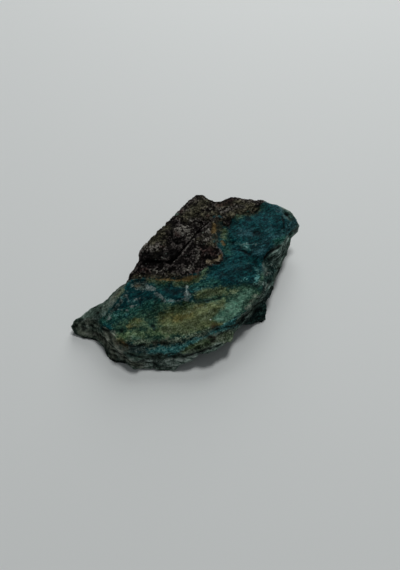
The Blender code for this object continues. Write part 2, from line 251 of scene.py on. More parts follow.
TRACES: dict[Mineral, tuple[Trace, ...]] = {
    Mineral.TEAL: (Trace(TEAL_FIELD, area=True),),
    Mineral.SEA: lines(
        (3.5, (16, 10), (19, 5), (16, 0), (10, -3.5), (4, -5.5)),
        (1.4, (25, -4), (28, -1), (29, 1.5)),
        (3, (34, 22), (30, 26), (24, 21)),
    ),
    Mineral.JADE: lines(
        (1.8, (-33, -18), (-29, -17.5), (-24, -16.5), (-17, -15), (-11, -13)),
        (1.2, (-12, -5.5), (-8.5, -6)),
        (1.4, (2.5, -7), (7, -5.5), (12, -5)),
        (1.2, (36, 13.5), (40, 17.5), (42.5, 22)),
        (1.4, (20, 25), (24, 27.5), (30, 31)),
        (1.4, (15, 16), (15.5, 12), (16, 8)),
        (1.5, (-23.5, -20.5), (-21.5, -21.5)),
    ),
    Mineral.STEEL: (
        Trace(STEEL_FACET, area=True),
        *lines(
            (1.6, (21.5, 17.5), (25.5, 17.5)),
            (0.7, (31, 14), (36.5, 16.5), (42, 20.5)),
            (1.2, (-17.5, -6), (-14, -7)),
            (0.1, (30, 15), (36, 18), (42, 22.5)),
            (0.1, (29, 17), (35, 20), (40, 23.5)),
            (1.7, (36.5, 31, 17), (39.5, 28.8, 16.5), (41, 26.5, 16.5)),
            (2, (41.5, 21, 15), (43.5, 23.5, 14.2), (44.8, 26, 13.2)),
        ),
    ),
    Mineral.GREEN: (
        Trace(GREEN_FIELD, area=True),
        *lines(
            (1.4, (29.5, -2), (28.5, -6)),
            (0.8, (7, -12.8), (11.5, -11.8), (16, -11)),
        ),
    ),
    Mineral.LIME: (
        Trace(LIME_FIELD, area=True),
        *lines(
            (1.4, (-13, -23.5), (-7.5, -24.5)),
            (0.5, (12, -12.4), (14.5, -12)),
            (0.5, (1, -4.4), (3.5, -3.7), (6, -1.7), (7.5, 0.3)),
            (0.6, (-5, -5.2), (-1, -5.2), (2.5, -4.2)),
        ),
    ),
    Mineral.OCHRE: (
        Trace(OCHRE_FIELD, area=True),
        *lines(
            (1, (4.5, -10), (9, -8.8), (14, -8)),
            (0.2, (-22, -22), (-19.5, -20.5), (-17, -20)),
        ),
    ),
    Mineral.HONEY: lines(
        (0.6, (-26.4, -26.5), (-24.2, -27.2)),
        (1.5, (-4, -19), (-1.5, -18.2), (1.5, -17.2)),
        (0.7, (3, -15.2), (5.5, -14.2)),
        (1, (-9.5, -18.3), (-6.5, -16.8)),
        (0.7, (10, -21.2), (13, -20.8)),
        (0.8, (-21.5, -21.5), (-19, -20.5)),
    ),
    Mineral.OLIVE: lines(
        (1.1, (-5.5, -15.3), (-2.5, -14.8), (1.5, -13.8)),
        (0.6, (6, -10), (10, -9.4), (15, -8.8)),
        (0.9, (-10.5, -18.5), (-8, -17), (-6.5, -16)),
        (0.9, (-21, -20.3), (-18.5, -21.5), (-15.5, -21.3)),
        (1.3, (-1, -30), (4.5, -28.5), (10, -26)),
        (0.7, (19.5, 25.5), (23, 26.8), (26.5, 28), (29, 30.5)),
        (1, (15, 19), (14.5, 15.5)),
        (0.8, (-14.5, -3.9), (-8.6, -4.6), (-4.3, -4.9), (-0.4, -4.6), (3.1, -3.4)),
    ),
    Mineral.SAGE: lines(
        (1.6, (13.1, -25.3, 8.4), (14.6, -24.9, 8.4), (16.8, -24.2, 8.2)),
        (1.4, (-9, -23.5), (-3, -22.7), (3, -22.3)),
        (0.7, (4.5, -19.5), (8, -18), (10, -16.8)),
        (0.6, (9, -9.3), (13, -9), (19, -8.2)),
        (0.3, (-27.2, -9.6), (-25.6, -7.4)),
        (0.3, (-1, -17), (3, -15.5), (7, -14.5)),
    ),
    Mineral.MINT: (
        Trace(MINT_FIELD, area=True),
        *lines(
            (0.7, (-20.5, -26.5), (-18.5, -26.5)),
        ),
    ),
    Mineral.BRIGHT: lines(
        (0.6, (27.2, 2), (28.1, 0.6)),
        (0.7, (27.9, -1.6), (27, -3.8)),
        (0.4, (-25.6, -10.4), (-24.6, -10.7)),
        (0.3, (-21.4, -11.8), (-20.4, -11.3)),
        (0.3, (-18.8, -12.9), (-17.9, -13.1)),
        (0.3, (-27.6, -16.5), (-26.6, -16.9)),
        (0.3, (-24.2, -17.3), (-22.8, -16.9)),
        (0.6, (-7.8, -12.2), (-5.6, -12.6)),
        (0.4, (3, -7.6), (5, -7.4)),
        (0.1, (20.5, -4), (23.5, -2.8)),
        (0.75, *BAND),
        (1.3, (-13.5, -29.8), (-8.5, -29.5), (-3.5, -29)),
        (0.5, (6.2, -25.2), (8.8, -24.4), (11.5, -23.2)),
    ),
    Mineral.FLAKE: (
        Trace(FLAKE, area=True),
        *lines(
            (0.4, (19.6, 12.9), (21, 12.3)),
        ),
    ),
    Mineral.FOREST_AND_SHADE: lines(
        # Painted shade along the crevice.
        (0.3, *CREVICE),
        (0.7, (-25, -23)),
        (0.7, (-13.5, -21.5), (-12.5, -22.5)),
        (0.5, (-24, -30.5, 7), (-21.5, -31.5, 6.5), (-18.5, -32, 7)),
        (2.2, (31.5, 5, 15), (34.5, 4.5, 12), (33, 1.5, 13), (31.5, -2.5, 13), (30, -6, 13)),
        (1, (25.5, -5.5), (27.5, -6)),
        (1.3, (40.5, 28.8, 16.5), (42.8, 27.3, 15)),
        # The low lump on the right: dark green rock, drawn darker as painted shade from the slab above.
        (3.2, (32, -7, 8), (30.5, -11, 5), (27, -14, 3), (23, -17.5, 4)),
    ),
    Mineral.CHALK: lines(
        (0.8, (-20, -28), (-13, -28), (-7, -27.5), (-1, -26.4), (4, -24.9), (9, -23)),
        (1.6, (12, -26, 8.2), (14.6, -25.2, 8.4), (17.2, -23.8, 8.2)),
        (0.7, (1.5, -30.3, 7.3), (6.5, -28.8, 8), (11, -27.3, 8)),
        (0.9, (-22, -27), (-18, -27.3)),
        (0.9, (-16, -27.5), (-12, -27.6)),
    ),
    Mineral.NAVY: lines(
        (1.4, (27.6, 17.8), (28.8, 17.2)),
        (0.8, (24.5, 25.5), (25.5, 23.5)),
        (0.3, *END_SEAM),
        (0.8, (45.6, 26.5, 12), (45.6, 23.5, 11.5)),
        (0.5, (-18.5, -11.5), (-15, -10.5), (-12, -11.5)),
        (1.2, (-8.5, -8), (-5, -9), (-2, -8.5)),
        (0.4, *BREAK_STEP),
        (1, (14, -1.5), (20, 1), (25, 2)),
        (0.4, (-24, -28.5), (-20.5, -29.3), (-16, -29.8)),
    ),
    Mineral.SLATE: (
        Trace(PALE_FACET, area=True),
        *lines(
            (0.9, (-21.8, -28.7, 8.5), (-19.5, -29.2, 8.2), (-16.5, -29.5, 8)),
            (0.4, (-18, -29.6), (-15.5, -30.3)),
            (0.4, (-25.2, -29), (-23.8, -29.6)),
            (1.5, (41.5, 17, 13.5), (39.5, 13, 13), (37.5, 10, 13), (35, 7.5, 13)),
            (0.25, (31.5, 4.5, 15), (35, 5.5, 12), (37, 4.5, 8)),
            (0.25, (31, 0.5, 14), (34, 2, 11), (36.5, 2, 7)),
            (0.9, *RIGHT_STRIP),
            (0.2, (-30.3, -16.8), (-27.6, -13.5), (-25.3, -11.1), (-23.1, -8.4)),
            (0.7, (-35.2, -16.8), (-32.3, -15.8)),
            (0.1, (-36.5, -18), (-33.8, -20.5), (-30.4, -22.4), (-28, -23.8)),
            (0.9, (29, -4.5), (30.5, -5)),
            (0.5, (-44.5, -18.5, 4.5), (-42.5, -17, 6)),
        ),
    ),
    # Drawn lighter as painted light on the front wall, which faces away from the lamps.
    Mineral.PEWTER: lines(
        (2, (-18, -33.5, 3.5), (-10.5, -34.5, 3.5), (-1.5, -33.5, 4), (6.5, -31, 5.5), (12.5, -28.7, 6.8)),
        (1.2, (-20.4, -5), (-18.6, -5.6), (-17, -5.8)),
    ),
    # Drawn lighter as painted light on the lower left walls and the wedge, which face away from the lamps.
    Mineral.DRAB: lines(
        (2, *RIBS[0]),
        (2, *RIBS[1]),
        (2.4, (-42, -21, 3), (-36, -22.5, 4), (-32, -25.5, 4)),
        (1, (-44, -18.5, 4.5), (-39, -17.5, 7), (-35.5, -19.5, 7.5)),
        (0.5, (-31.5, -12.5, 10), (-28, -9, 12), (-25.5, -6, 13)),
        (1.6, (-27.5, -31.5, 4.5), (-23, -33, 3.5), (-18, -34, 2.5)),
        (0.3, (26.8, -9.6), (25.2, -12.3), (23.2, -14.6)),
    ),
    Mineral.HOST: (
        Trace(HOST_PLATE, area=True, above=9),
        *lines(
            (0.7, (-4.5, 26)),
            (0.3, (21.5, 26.7), (25.5, 27.5)),
            (1.1, (10, 13), (11.5, 14.5)),
            (0.3, (10.3, 24.6), (12.4, 24.7), (14.4, 23.8)),
            (0.5, (10.7, 16.2), (11, 14.1)),
            (0.8, (12.5, 21), (12.5, 17)),
            gap=True,
        ),
    ),
    Mineral.UMBER: (
        Trace(UMBER_FIELD, area=True),
        *lines(
            (2, (14, 30.5), (20, 31.5), (26, 30)),
            (1.6, (17, 25.8), (21, 27.3), (27, 29)),
            (1.2, (5, 13.5), (9.5, 12)),
            (1.5, (-15, 10.5), (-11.5, 14.5), (-8.4, 19.2)),
            (0.8, (-12.8, 7.5), (-9.5, 11.5)),
            (1.4, (6.5, 25), (12, 26.5)),
            (0.6, (-20, -1.8), (-12, -2.4), (-4, -2.6)),
            (1.8, (9.5, 12), (11, 16), (12.5, 21)),
            (0.9, (-28.5, -9.5), (-26.5, -6.5)),
            (1.4, (-26.2, -27.6, 9.5), (-24, -28.2, 9), (-22.2, -28.9, 8.4)),
        ),
    ),
    Mineral.ASH: lines(
        (1.4, (5.5, 12), (8.5, 14.5), (8, 18)),
        (1, (20, 30.5), (22.5, 30)),
        (2, (-3.8, 17.5), (0.5, 18.5), (1.5, 15)),
        (0.9, (1.5, 23), (5, 20.5)),
        (1.3, (-14, -0.3), (-10, -0.5)),
        (1.3, (-16.1, 10.1), (-14, 8.6), (-11.5, 9.5)),
        (0.9, (4.5, 4), (4.5, 9)),
        (1.2, (1.3, 21.6), (2.6, 22.6)),
        (0.9, (13.5, 27.5), (17.5, 29.5)),
        (1, (-0.5, -0.2), (2.5, 1.5)),
    ),
    Mineral.PLUM: lines(
        (1.8, (6.5, 9), (9, 8.5), (10.5, 7)),
        (1.4, (13, 31), (17, 32.5)),
        (0.7, (2, -1), (4.5, -0.5), (4.5, -2)),
        (0.7, (-5, 16), (-4, 14.5)),
        (0.8, (-10, 10)),
        (0.6, (-19.5, -0.5), (-17, 1), (-14.5, -1)),
        (0.8, (18, 34), (18, 31.5)),
        (0.6, (8, 25)),
        (0.8, (-3, 27)),
        (0.8, (6, 5.5), (6.5, 8.5)),
        (0.7, (-12.5, -27.6), (-10, -27.8), (-8, -27.5)),
        (0.8, (9.6, -21.9), (11.3, -21.6)),
        (0.3, (-6.5, -26.6), (-5.5, -26.3)),
        (0.8, (8.6, -25.2), (10.2, -25.6)),
    ),
    Mineral.TAN: lines(
        (0.75, *TAN_LIP),
        (0.6, (-20.2, -5.5), (-18.8, -5.3)),
    ),
    Mineral.RUST: lines(
        (0.3, (13, 5.9), (13.6, 6.6)),
        (0.75, (10.9, 20.3), (10.8, 18.5), (10.2, 17)),
        (0.6, (13.9, 13.5), (14.5, 12)),
        (0.4, (-12, -3.6), (-8, -3.9), (-4, -4.2), (0, -3.4), (3.5, -2.8)),
        (0.9, (-1, -3.9), (1.5, -3.3)),
        (0.4, (-26, -27.3, 9.6), (-24.4, -27.8, 9.3), (-22.6, -28.4, 8.8)),
    ),
    Mineral.QUARTZ: lines(
        (0.3, (-21.9, -28.4), (-21.3, -29.8)),
        (0.1, (-19.8, -30.3), (-18.6, -30.6)),
        (0.9, (-15.5, -6.6), (-13, -7.6)),
        (0.45, (-12.5, -8.8), (-10.5, -10.5), (-8.5, -12.5)),
        (0.15, (-8.5, -12.5), (-3, -12.3), (0, -11.5), (2, -12.6)),
        (0.35, (-0.2, -6.2), (-0.1, -8.8)),
        (0.9, (0.1, -9.6), (0.4, -11.6)),
        (0, (-23.4, -8), (-23.4, -10.4), (-22.3, -12.5), (-20.8, -12.6)),
        (0, (-27.8, -9.4), (-25.7, -11.1)),
        (0, (-21, -11.3), (-18.3, -10.7)),
        (0.1, (-28, -14.2), (-25.2, -15.1)),
        (0.35, (-26.9, -12.4)),
        (0.1, (-21.7, -13.7), (-19.4, -13.4)),
        (0.1, (-31, -18.3), (-29.5, -17.5)),
        (0, (-25.5, -17), (-23.5, -16.2)),
        (0.3, (-23, -15.5)),
        (0, (-18.5, -14.2), (-17, -14.4)),
        (0.1, (22, 10.9), (23.5, 10.5)),
        (0, (22.5, 12.3), (25.5, 12), (29, 12.3)),
    ),
    Mineral.PALE_LINE: lines(
        (0.15, (36.9, 9.2, 13.9), (35.2, 6.5, 12.9), (33, 3.2, 13.6), (31.1, -0.7, 14)),
        (0.15, (32.4, -2.5, 12.5), (30.1, -7.2, 13.3), (27.6, -10.9, 12.8)),
        (0.1, (33.5, -3, 10.5), (31.9, -5.6, 11.4), (29.3, -9.3, 12.4)),
        (0.1, (34.5, 4.5, 13.2), (36, 4, 10)),
        # Along the crack's lower side: a painted highlight on its lit lip.
        (0.07, (-5.6, 3.2), (-4, 4.6), (-2, 7.6), (0, 10.1), (2, 12.7)),
    ),
    # Painted highlights: near-white spots where grains would flash.
    Mineral.PAINTED_GLINT: lines(
        (0.28, (9, -19.2)),
        (0.12, (-0.5, -18)),
        (0.12, (1, -17)),
    ),
    # Painted shade: near black along the crack, standing for the shade inside it.
    Mineral.SEAM: lines(
        (0.12, *CRACK),
    ),
    # Painted shade: near black in the moats and pits, along the front step and rim seam, and under the
    # overhang.
    Mineral.PAINTED_SHADE: lines(
        (0.5, *KNOB_MOAT),
        (1, (-15, 6.3), (-11, 6.5), (-7, 6.5), (-5, 7.5)),
        (0.4, *FRONT_MOAT),
        (0.4, (4, 18), (4.5, 17)),
        (0.7, (-17, 7)),
        (0.7, (41, 28)),
        (0.1, (-41, -18.8)),
        (0.5, (8.6, -25.8), (10.2, -26.1)),
        (0.25, *RIM_SEAM),
        (0.35, *OVERHANG),
    ),
}


# --- Shaping ------------------------------------------------------------------------------------


def smooth(value: Array) -> Array:
    """Ease a value from 0 to 1 and hold it there."""
    value = np.clip(value, 0.0, 1.0)
    return value * value * (3.0 - 2.0 * value)


def fractal(points: Array, size: float | Sequence[float], octaves: int = 3, seed: int = 0) -> Array:
    """Sample fractal noise.

    Args:
        points: Places to sample.
        size: Size of the largest grain, one for all axes or one for each.
        octaves: How many times finer grain is added.
        seed: Which of the noise fields to take.

    Returns:
        One value for each point, about -0.6 to 0.6.
    """
    placed = (points / np.array(size) + np.array(NOISE_SHIFT) * seed).tolist()
    return np.array([noise.fractal(place, 1.0, 2.0, octaves) for place in placed])


def scoops(points: Array, size: float, seed: int = 0) -> Array:
    """Sample how far the nearest of scattered points is, 0 at one and about 1 between them."""
    placed = (points / size + np.array(SCOOP_SHIFT) * seed).tolist()
    return np.array([noise.voronoi(place)[0][0] for place in placed])


def from_line(points: Array, line: Sequence[Place]) -> Array:
    """Measure how far points are from a line or, with one corner, from a spot.

    Args:
        points: Places to measure.
        line: The line's corners, with two or three numbers each.

    Returns:
        The distance of each point.
    """
    corners = np.array(line)
    near = points[:, : corners.shape[1]]
    if len(corners) == 1:
        return np.linalg.norm(near - corners[0], axis=1)
    best = np.full(len(points), np.inf)
    for start, end in zip(corners[:-1], corners[1:]):
        run = end - start
        off = near - start
        share = np.clip(off @ run / (run @ run), 0.0, 1.0)
        apart = np.linalg.norm(off - share[:, None] * run, axis=1)
        best = np.minimum(best, apart)
    return best


def inside(points: Array, outline: Sequence[Place]) -> Array:
    """Measure how deep points lie inside an outline.

    Args:
        points: Places to measure.
        outline: The outline's corners, seen from above.

    Returns:
        The depth of each point, with a minus sign outside the outline.
    """
    corners = np.array(outline)
    x, y = points[:, 0], points[:, 1]
    within = np.zeros(len(points), bool)
    for (ax, ay), (bx, by) in zip(corners, np.roll(corners, -1, axis=0)):
        if ay != by:
            crosses = (ay > y) != (by > y)
            within ^= crosses & (x < ax + (y - ay) * (bx - ax) / (by - ay))
    apart = from_line(points, [*outline, outline[0]])
    return np.where(within, apart, -apart)


def turned_to_beds(points: Array) -> Array:
    """Turn points about the upright axis, so that X runs along the beds.

    Args:
        points: Places to turn.

    Returns:
        The turned places.
    """
    c, s = math.cos(BED_TURN), math.sin(BED_TURN)
    x, y, z = points.T
    return np.stack([c * x + s * y, c * y - s * x, z], axis=1)


@dataclass
class Skin:
    """The stone's surface as arrays, while it is being worked."""

    mesh: bpy.types.Mesh
    points: Array = field(init=False)
    normals: Array = field(init=False)
    ends: Array = field(init=False)

    def __post_init__(self) -> None:
        """Read the mesh: its points, and the two ends of each edge."""
        count = len(self.mesh.vertices)
        self.points = np.empty(count * 3)
        self.mesh.vertices.foreach_get("co", self.points)
        self.points = self.points.reshape(-1, 3)
        self.ends = np.empty(len(self.mesh.edges) * 2, np.int32)
        self.mesh.edges.foreach_get("vertices", self.ends)
        self.ends = self.ends.reshape(-1, 2)
        self.settle()

    def settle(self) -> None:
        """Write the points to the mesh and read the normals that they give."""
        self.mesh.vertices.foreach_set("co", self.points.ravel())
        self.mesh.update()
        self.normals = np.empty(self.points.size)
        self.mesh.vertex_normals.foreach_get("vector", self.normals)
        self.normals = self.normals.reshape(-1, 3)

    def raise_by(self, lift: Array) -> None:
        """Move each point out along its normal."""
        self.points = self.points + self.normals * lift[:, None]

    def blurred(self, values: Array, rounds: int) -> Array:
        """Average values over their neighbours.

        Args:
            values: One row for each point.
            rounds: How many times they are averaged.

        Returns:
            The averaged values.
        """
        count = len(self.points)
        a, b = self.ends.T
        share = 1.0 + np.bincount(a, minlength=count) + np.bincount(b, minlength=count)
        columns = [*np.atleast_2d(values.T)]
        for _ in range(rounds):
            columns = [
                (c + np.bincount(a, c[b], count) + np.bincount(b, c[a], count)) / share
                for c in columns
            ]
        return np.stack(columns, axis=-1).reshape(values.shape)

    def facing(self, start: float, span: float, way: int = 1) -> Array:
        """Ease to 1 over a span past start of the normal's upright part, turned over by way -1."""
        return smooth((way * self.normals[:, 2] - start) / span)

    def hollow(self, rounds: int) -> Array:
        """Measure how far the surface lies under its surroundings, minus where it stands proud."""
        return ((self.blurred(self.points, rounds) - self.points) * self.normals).sum(axis=1)

    def keep(self, name: str, values: Array) -> None:
        """Store one value for each point as an attribute of the mesh."""
        layer = self.mesh.attributes.new(name, "FLOAT", "POINT")
        layer.data.foreach_set("value", values.astype(np.float32))


@dataclass(frozen=True)
class Dent:
    """A round bump on the upper side, or a pit where its rise is negative."""

    x: float
    y: float
    radius: float
    rise: float


@dataclass(frozen=True)
class Groove:
    """A groove along a line, or a ridge where its depth is negative."""

    line: tuple[Place, ...]
    depth: float
    width: float


class Part(Enum):
    """The part of the stone's height that a push moves."""

    WHOLE = "whole"
    TOP = "top"
    FOOT = "foot"


@dataclass(frozen=True)
class Push:
    """A soft shift of the outline: what lies within reach of a place, seen from above, moves.

    along and across are the ways it moves in X and Y, and down lowers the edge that hangs over
    the table.
    """

    x: float
    y: float
    along: float
    across: float
    reach: float
    down: float = 0.0
    part: Part = Part.WHOLE


@dataclass
class Relief:
    """The small forms of the broken surface."""

    pushes: tuple[Push, ...] = (
        Push(37, 31, 0.7, 1, 7),
        Push(31, 33.5, 0.3, 0.8, 5),
        Push(25, 33, 0, 0.4, 5),
        Push(44.5, 25, 0.7, 0.1, 4.5),
        Push(16.5, 33.5, 0.3, 1.8, 6),
        Push(5.5, 33.5, -0.1, 1.8, 7),
        Push(1, 29.5, -0.9, 0.7, 4),
        Push(-5, 25, -0.6, 0.9, 4.5),
        Push(-13.3, 13.5, -1.2, 0.8, 3),
        Push(-17.8, 8.3, -0.9, 0.4, 3),
        Push(-27, -6, -0.6, 0.9, 5),
        Push(-43.5, -17, -1.3, -0.2, 5),
        Push(-29, -29, -0.5, -0.5, 5),
        Push(-20.5, -33, -0.7, -1.4, 6),
        Push(-12, -34.5, -0.2, -0.9, 5),
        Push(-5, -35, -0.1, -1.1, 5),
        Push(2, -33, 0, -1.2, 5),
        Push(8.5, -30, 0.2, -0.7, 5),
        Push(30.5, -12.5, 0.7, -0.3, 5),
        Push(40, 10.5, -0.7, 0.1, 6),
        Push(44, 20.5, -1.1, 0, 4.5),
        Push(-18.8, 4.5, -0.5, 0.3, 3.5),
        Push(-45, -18.5, 0, 0, 6, down=3.5),
        Push(-41, -20, 0, 0, 6, down=2),
        Push(-35, -23, 0, 0, 7, down=2),
        Push(-28, -30, 0, 0, 6, down=1.8),
        Push(-18, -33.5, 0, 0, 7, down=0.8),
        Push(31, -14, 0, 0.2, 5, down=2.5),
        Push(-44, -19, 1.2, 2.6, 4, part=Part.TOP),
        Push(-38, -21.5, 0.6, 2.2, 5, part=Part.TOP),
        Push(-31, -28, 1.2, 1.9, 5, part=Part.TOP),
        Push(-25, -31.5, 0.4, 1.6, 5, part=Part.TOP),
        Push(-45, -19, -0.4, -0.5, 4, down=2, part=Part.FOOT),
        Push(-28.5, -30, -0.5, -0.5, 5, down=1, part=Part.FOOT),
        Push(4, -32.5, 0, -0.7, 4, down=1.5, part=Part.FOOT),
        Push(3, -33, 0, 1, 5, part=Part.TOP),
        Push(-20, -34.5, -0.1, -0.2, 4.5, down=0.6, part=Part.FOOT),
        Push(-24, -34, 0.5, 0.8, 4.5, down=2, part=Part.FOOT),
        Push(29.5, -12.5, 0.9, -1.2, 4.5, down=4, part=Part.FOOT),
        Push(25, -15, 0.3, -0.3, 3.5, down=1.5, part=Part.FOOT),
        Push(23.5, -18, -0.3, 0.6, 4.5, down=2.5),
        Push(32.4, -9.2, -0.8, 0.5, 1.5),
        Push(27.2, -14.4, -0.1, 1, 1.6),
        Push(30.6, -13.4, 0.4, -0.5, 1.2),
        Push(-14, -34, 0, 1.5, 6, part=Part.TOP),
        Push(-6, -34.5, 0, 1.2, 6, part=Part.TOP),
        Push(-7, -35.5, 0, 0.7, 6, down=2),
        Push(30.5, -13.5, -0.4, 3, 5, part=Part.TOP),
    )

    dents: tuple[Dent, ...] = (
        Dent(-2, 15.5, 4, 0.7),
        Dent(-2, 17, 0.6, -0.5),
        Dent(0.5, 15, 0.5, -0.5),
        Dent(-1.5, 13.8, 0.7, -0.4),
        Dent(3.2, 7.5, 1.1, -0.6),
        Dent(2.9, 7.6, 0.3, 0.4),
        Dent(8.5, 7, 3, 0.6),
        Dent(28, 17.5, 1.5, -0.5),
        Dent(-17, 7, 1, -0.5),
        Dent(4.2, 17.5, 0.9, -0.5),
        Dent(41, 28, 1, -0.5),
        Dent(-25, -23, 0.9, -0.35),
        Dent(-13, -22, 1, -0.35),
        Dent(-41, -18.5, 1.2, -0.5),
        Dent(24.8, 24.5, 1.2, -0.35),
    )

    grooves: tuple[Groove, ...] = (
        Groove(CRACK, 0.8, 0.26),
        Groove(CRACK_TAIL, 0.25, 0.3),
        Groove(KNOB_MOAT, 0.6, 0.6),
        Groove(FRONT_MOAT, 0.7, 0.6),
        Groove(CREVICE, 0.2, 0.6),
        Groove(FOLD, 0.35, 0.4),
        Groove(((33.6, -9.6, 4), (31.6, -12.6, 2.5)), 0.9, 0.8),
        Groove(((29.5, -15, 3), (27.5, -15.6, 1.5)), 0.7, 0.7),
        Groove(BREAK_STEP, 0.3, 0.5),
        Groove(END_SEAM, 0.3, 0.4),
        Groove(((0, -6.5), (0, -9), (0, -11.5)), -0.3, 0.6),
        Groove(TAN_LIP, -0.22, 0.6),
        Groove(RIM_SEAM, 0.35, 0.45),
        Groove(OVERHANG, 0.6, 0.45),
        Groove(RIBS[0], -0.7, 0.9),
        Groove(RIBS[1], -0.7, 0.9),
        Groove(((-30.2, -25, 8.5), (-28.7, -28.5, 6), (-27, -31, 3)), 0.7, 0.6),
        Groove(RIGHT_STRIP, -0.4, 0.7),
    )

    # The host rock's grain: its size, how many times finer its second grain is, how far it is
    # bent and worn, and where its tops begin.
    grain: float = 1.7
    grain_rise: float = 0.38
    finer: float = 2.8
    fine_share: float = 0.55
    bend: float = 1.2
    bend_size: float = 3.0
    wear: float = 0.6
    wear_size: float = 5.0
    tops_from: float = -0.22
    tops_span: float = 0.5
    mean_top: float = 0.6

    # Its swells, its round pits, and the step at its edge.
    swell: float = 0.4
    swell_size: float = 5.5
    pit: float = 0.35
    pit_gap: float = 2.4
    pit_size: float = 0.22
    host_step: float = 0.35
    step_width: float = 0.35
    step_fade: float = 2.0
    host_blend: float = 0.8

    # The turquoise's streaks and soft swells.
    streak: float = 0.9
    streak_length: float = 4.5
    streak_rise: float = 0.06
    soft_swell: float = 0.4
    soft_size: float = 4.5

    # The broken sides: thin beds that dip to the back, and shell-like scoops.
    bed: float = 1.3
    bed_length: float = 6.0
    bed_out: float = 0.18
    bed_edge: float = 4.0
    bed_dip: float = 0.3
    bed_bend: float = 1.2
    bend_length: float = 8.0
    scoop: float = 4.2
    scoop_out: float = 0.6
    smaller: float = 2.4
    small_share: float = 0.5

    # How much of each form is left on the top, the underside, the host rock and the sides.
    broken_top: float = 0.25
    broken_under: float = 0.4
    broken_rock: float = 0.5
    grain_side: float = 0.35
    left_under: float = 0.2

    # The slopes, as the skin's facing takes them, that count as the top, as the underside and as
    # the upper side that is seen from above.
    top_face: tuple[float, float] = (0.35, 0.4)
    under_face: tuple[float, float] = (0.6, 0.3)
    upper_side: tuple[float, float] = (0.1, 0.3)
    dent_rim: int = 4

    # How a push fades, and the heights where the foot ends and the low edge begins.
    push_fade: float = 1.5
    foot: tuple[float, float] = (0.5, 5.5)
    low: tuple[float, float] = (5.0, 4.0)

    def work(self, skin: Skin, host: Array) -> None:
        """Work the forms into the skin.

        Args:
            skin: The surface.
            host: How deep each point lies within the host rock.
        """
        self.shift_outline(skin)
        up = skin.facing(*self.top_face)
        down = skin.facing(*self.under_face, way=-1)
        rock = smooth(host / self.host_blend + MIDDLE)
        lift = self.named_forms(skin)
        step = up * self.host_step * np.tanh(host / self.step_width) / 2
        lift += step * np.exp(-np.abs(host) / self.step_fade)
        lift += rock * (self.grain_side + (1 - self.grain_side) * up) * self.host_grain(skin.points)
        lift += (1 - rock) * up * self.streaks(skin.points)
        broken = 1 - (1 - self.broken_top) * up
        broken *= 1 - (1 - self.broken_under) * down
        broken *= 1 - (1 - self.broken_rock) * rock
        lift += broken * self.broken_edge(skin.points)
        skin.raise_by(lift * (1 - (1 - self.left_under) * down))
        skin.settle()

    def shift_outline(self, skin: Skin) -> None:
        """Move the stone's outline by the named pushes.

        Args:
            skin: The surface.
        """
        start = skin.points.copy()
        for push in self.pushes:
            apart = np.hypot(start[:, 0] - push.x, start[:, 1] - push.y) / push.reach
            share = np.exp(-(apart**2) * self.push_fade)
            high = smooth((start[:, 2] - self.foot[0]) / self.foot[1])
            share *= {Part.WHOLE: 1.0, Part.TOP: high, Part.FOOT: 1.0 - high}[push.part]
            skin.points[:, 0] += push.along * share
            skin.points[:, 1] += push.across * share
            low = smooth((self.low[0] - start[:, 2]) / self.low[1])
            skin.points[:, 2] -= push.down * share * low

    def named_forms(self, skin: Skin) -> Array:
        """Raise the named pits, knobs, seams and ridges.

        Args:
            skin: The surface.

        Returns:
            The rise of each point.
        """
        points, lift = skin.points, np.zeros(len(skin.points))
        top = skin.facing(*self.upper_side)
        for dent in self.dents:
            apart = np.hypot(points[:, 0] - dent.x, points[:, 1] - dent.y) / dent.radius
            lift += top * dent.rise * np.exp(-(apart**self.dent_rim))
        for groove in self.grooves:
            apart = from_line(points, groove.line)
            held = top if len(groove.line[0]) == 2 else 1.0
            lift -= held * groove.depth * np.exp(-((apart / groove.width) ** 2))
        return lift

    def host_tops(self, points: Array) -> Array:
        """Find the flat tops of the host rock's grains.

        Args:
            points: Places to sample.

        Returns:
            A share from 0 in a gap to 1 on a top.
        """
        bent = points + self.bend * fractal(points, self.bend_size, 3, seed=9)[:, None]
        large = fractal(bent, self.grain, 3, seed=1)
        small = self.fine_share * fractal(points, self.grain / self.finer, 2, seed=3)
        wear_and_painted_shade = self.wear * fractal(points, self.wear_size, 2, seed=10)
        return smooth((large + small + wear_and_painted_shade - self.tops_from) / self.tops_span)

    def host_grain(self, points: Array) -> Array:
        """Raise the host rock's grain over its slow swells, with round pits.

        Args:
            points: Places to sample.

        Returns:
            The rise of each point.
        """
        swell = self.swell * fractal(points, self.swell_size, 2, seed=2)
        pits = np.exp(-((scoops(points, self.pit_gap, seed=2) / self.pit_size) ** 2))
        grain = self.grain_rise * (self.host_tops(points) - self.mean_top)
        return grain + swell - self.pit * pits

    def streaks(self, points: Array) -> Array:
        """Raise the turquoise's streaks, which run along the beds, and its soft swells.

        Args:
            points: Places to sample.

        Returns:
            The rise of each point.
        """
        size = (self.streak_length, self.streak, self.streak)
        fine = self.streak_rise * fractal(turned_to_beds(points), size, 3, seed=4)
        return fine + self.soft_swell * fractal(points, self.soft_size, 4, seed=5)

    def broken_edge(self, points: Array) -> Array:
        """Break the sides into short ledges of thin beds and shell-like scoops.

        Args:
            points: Places to sample.

        Returns:
            How far out each point moves.
        """
        sloped = points.copy()
        sloped[:, 2] += self.bed_dip * points[:, 1]
        sloped[:, 2] += self.bed_bend * fractal(points, self.bend_length, 2, seed=6)
        size = (self.bed_length, self.bed_length, self.bed)
        ledges = np.tanh(self.bed_edge * fractal(sloped, size, 3, seed=7))
        large = scoops(points, self.scoop, seed=8) - MIDDLE
        small = scoops(points, self.scoop / self.smaller, seed=9) - MIDDLE
        return self.bed_out * ledges + self.scoop_out * (large + self.small_share * small)


# --- Mineral maps -------------------------------------------------------------------------------


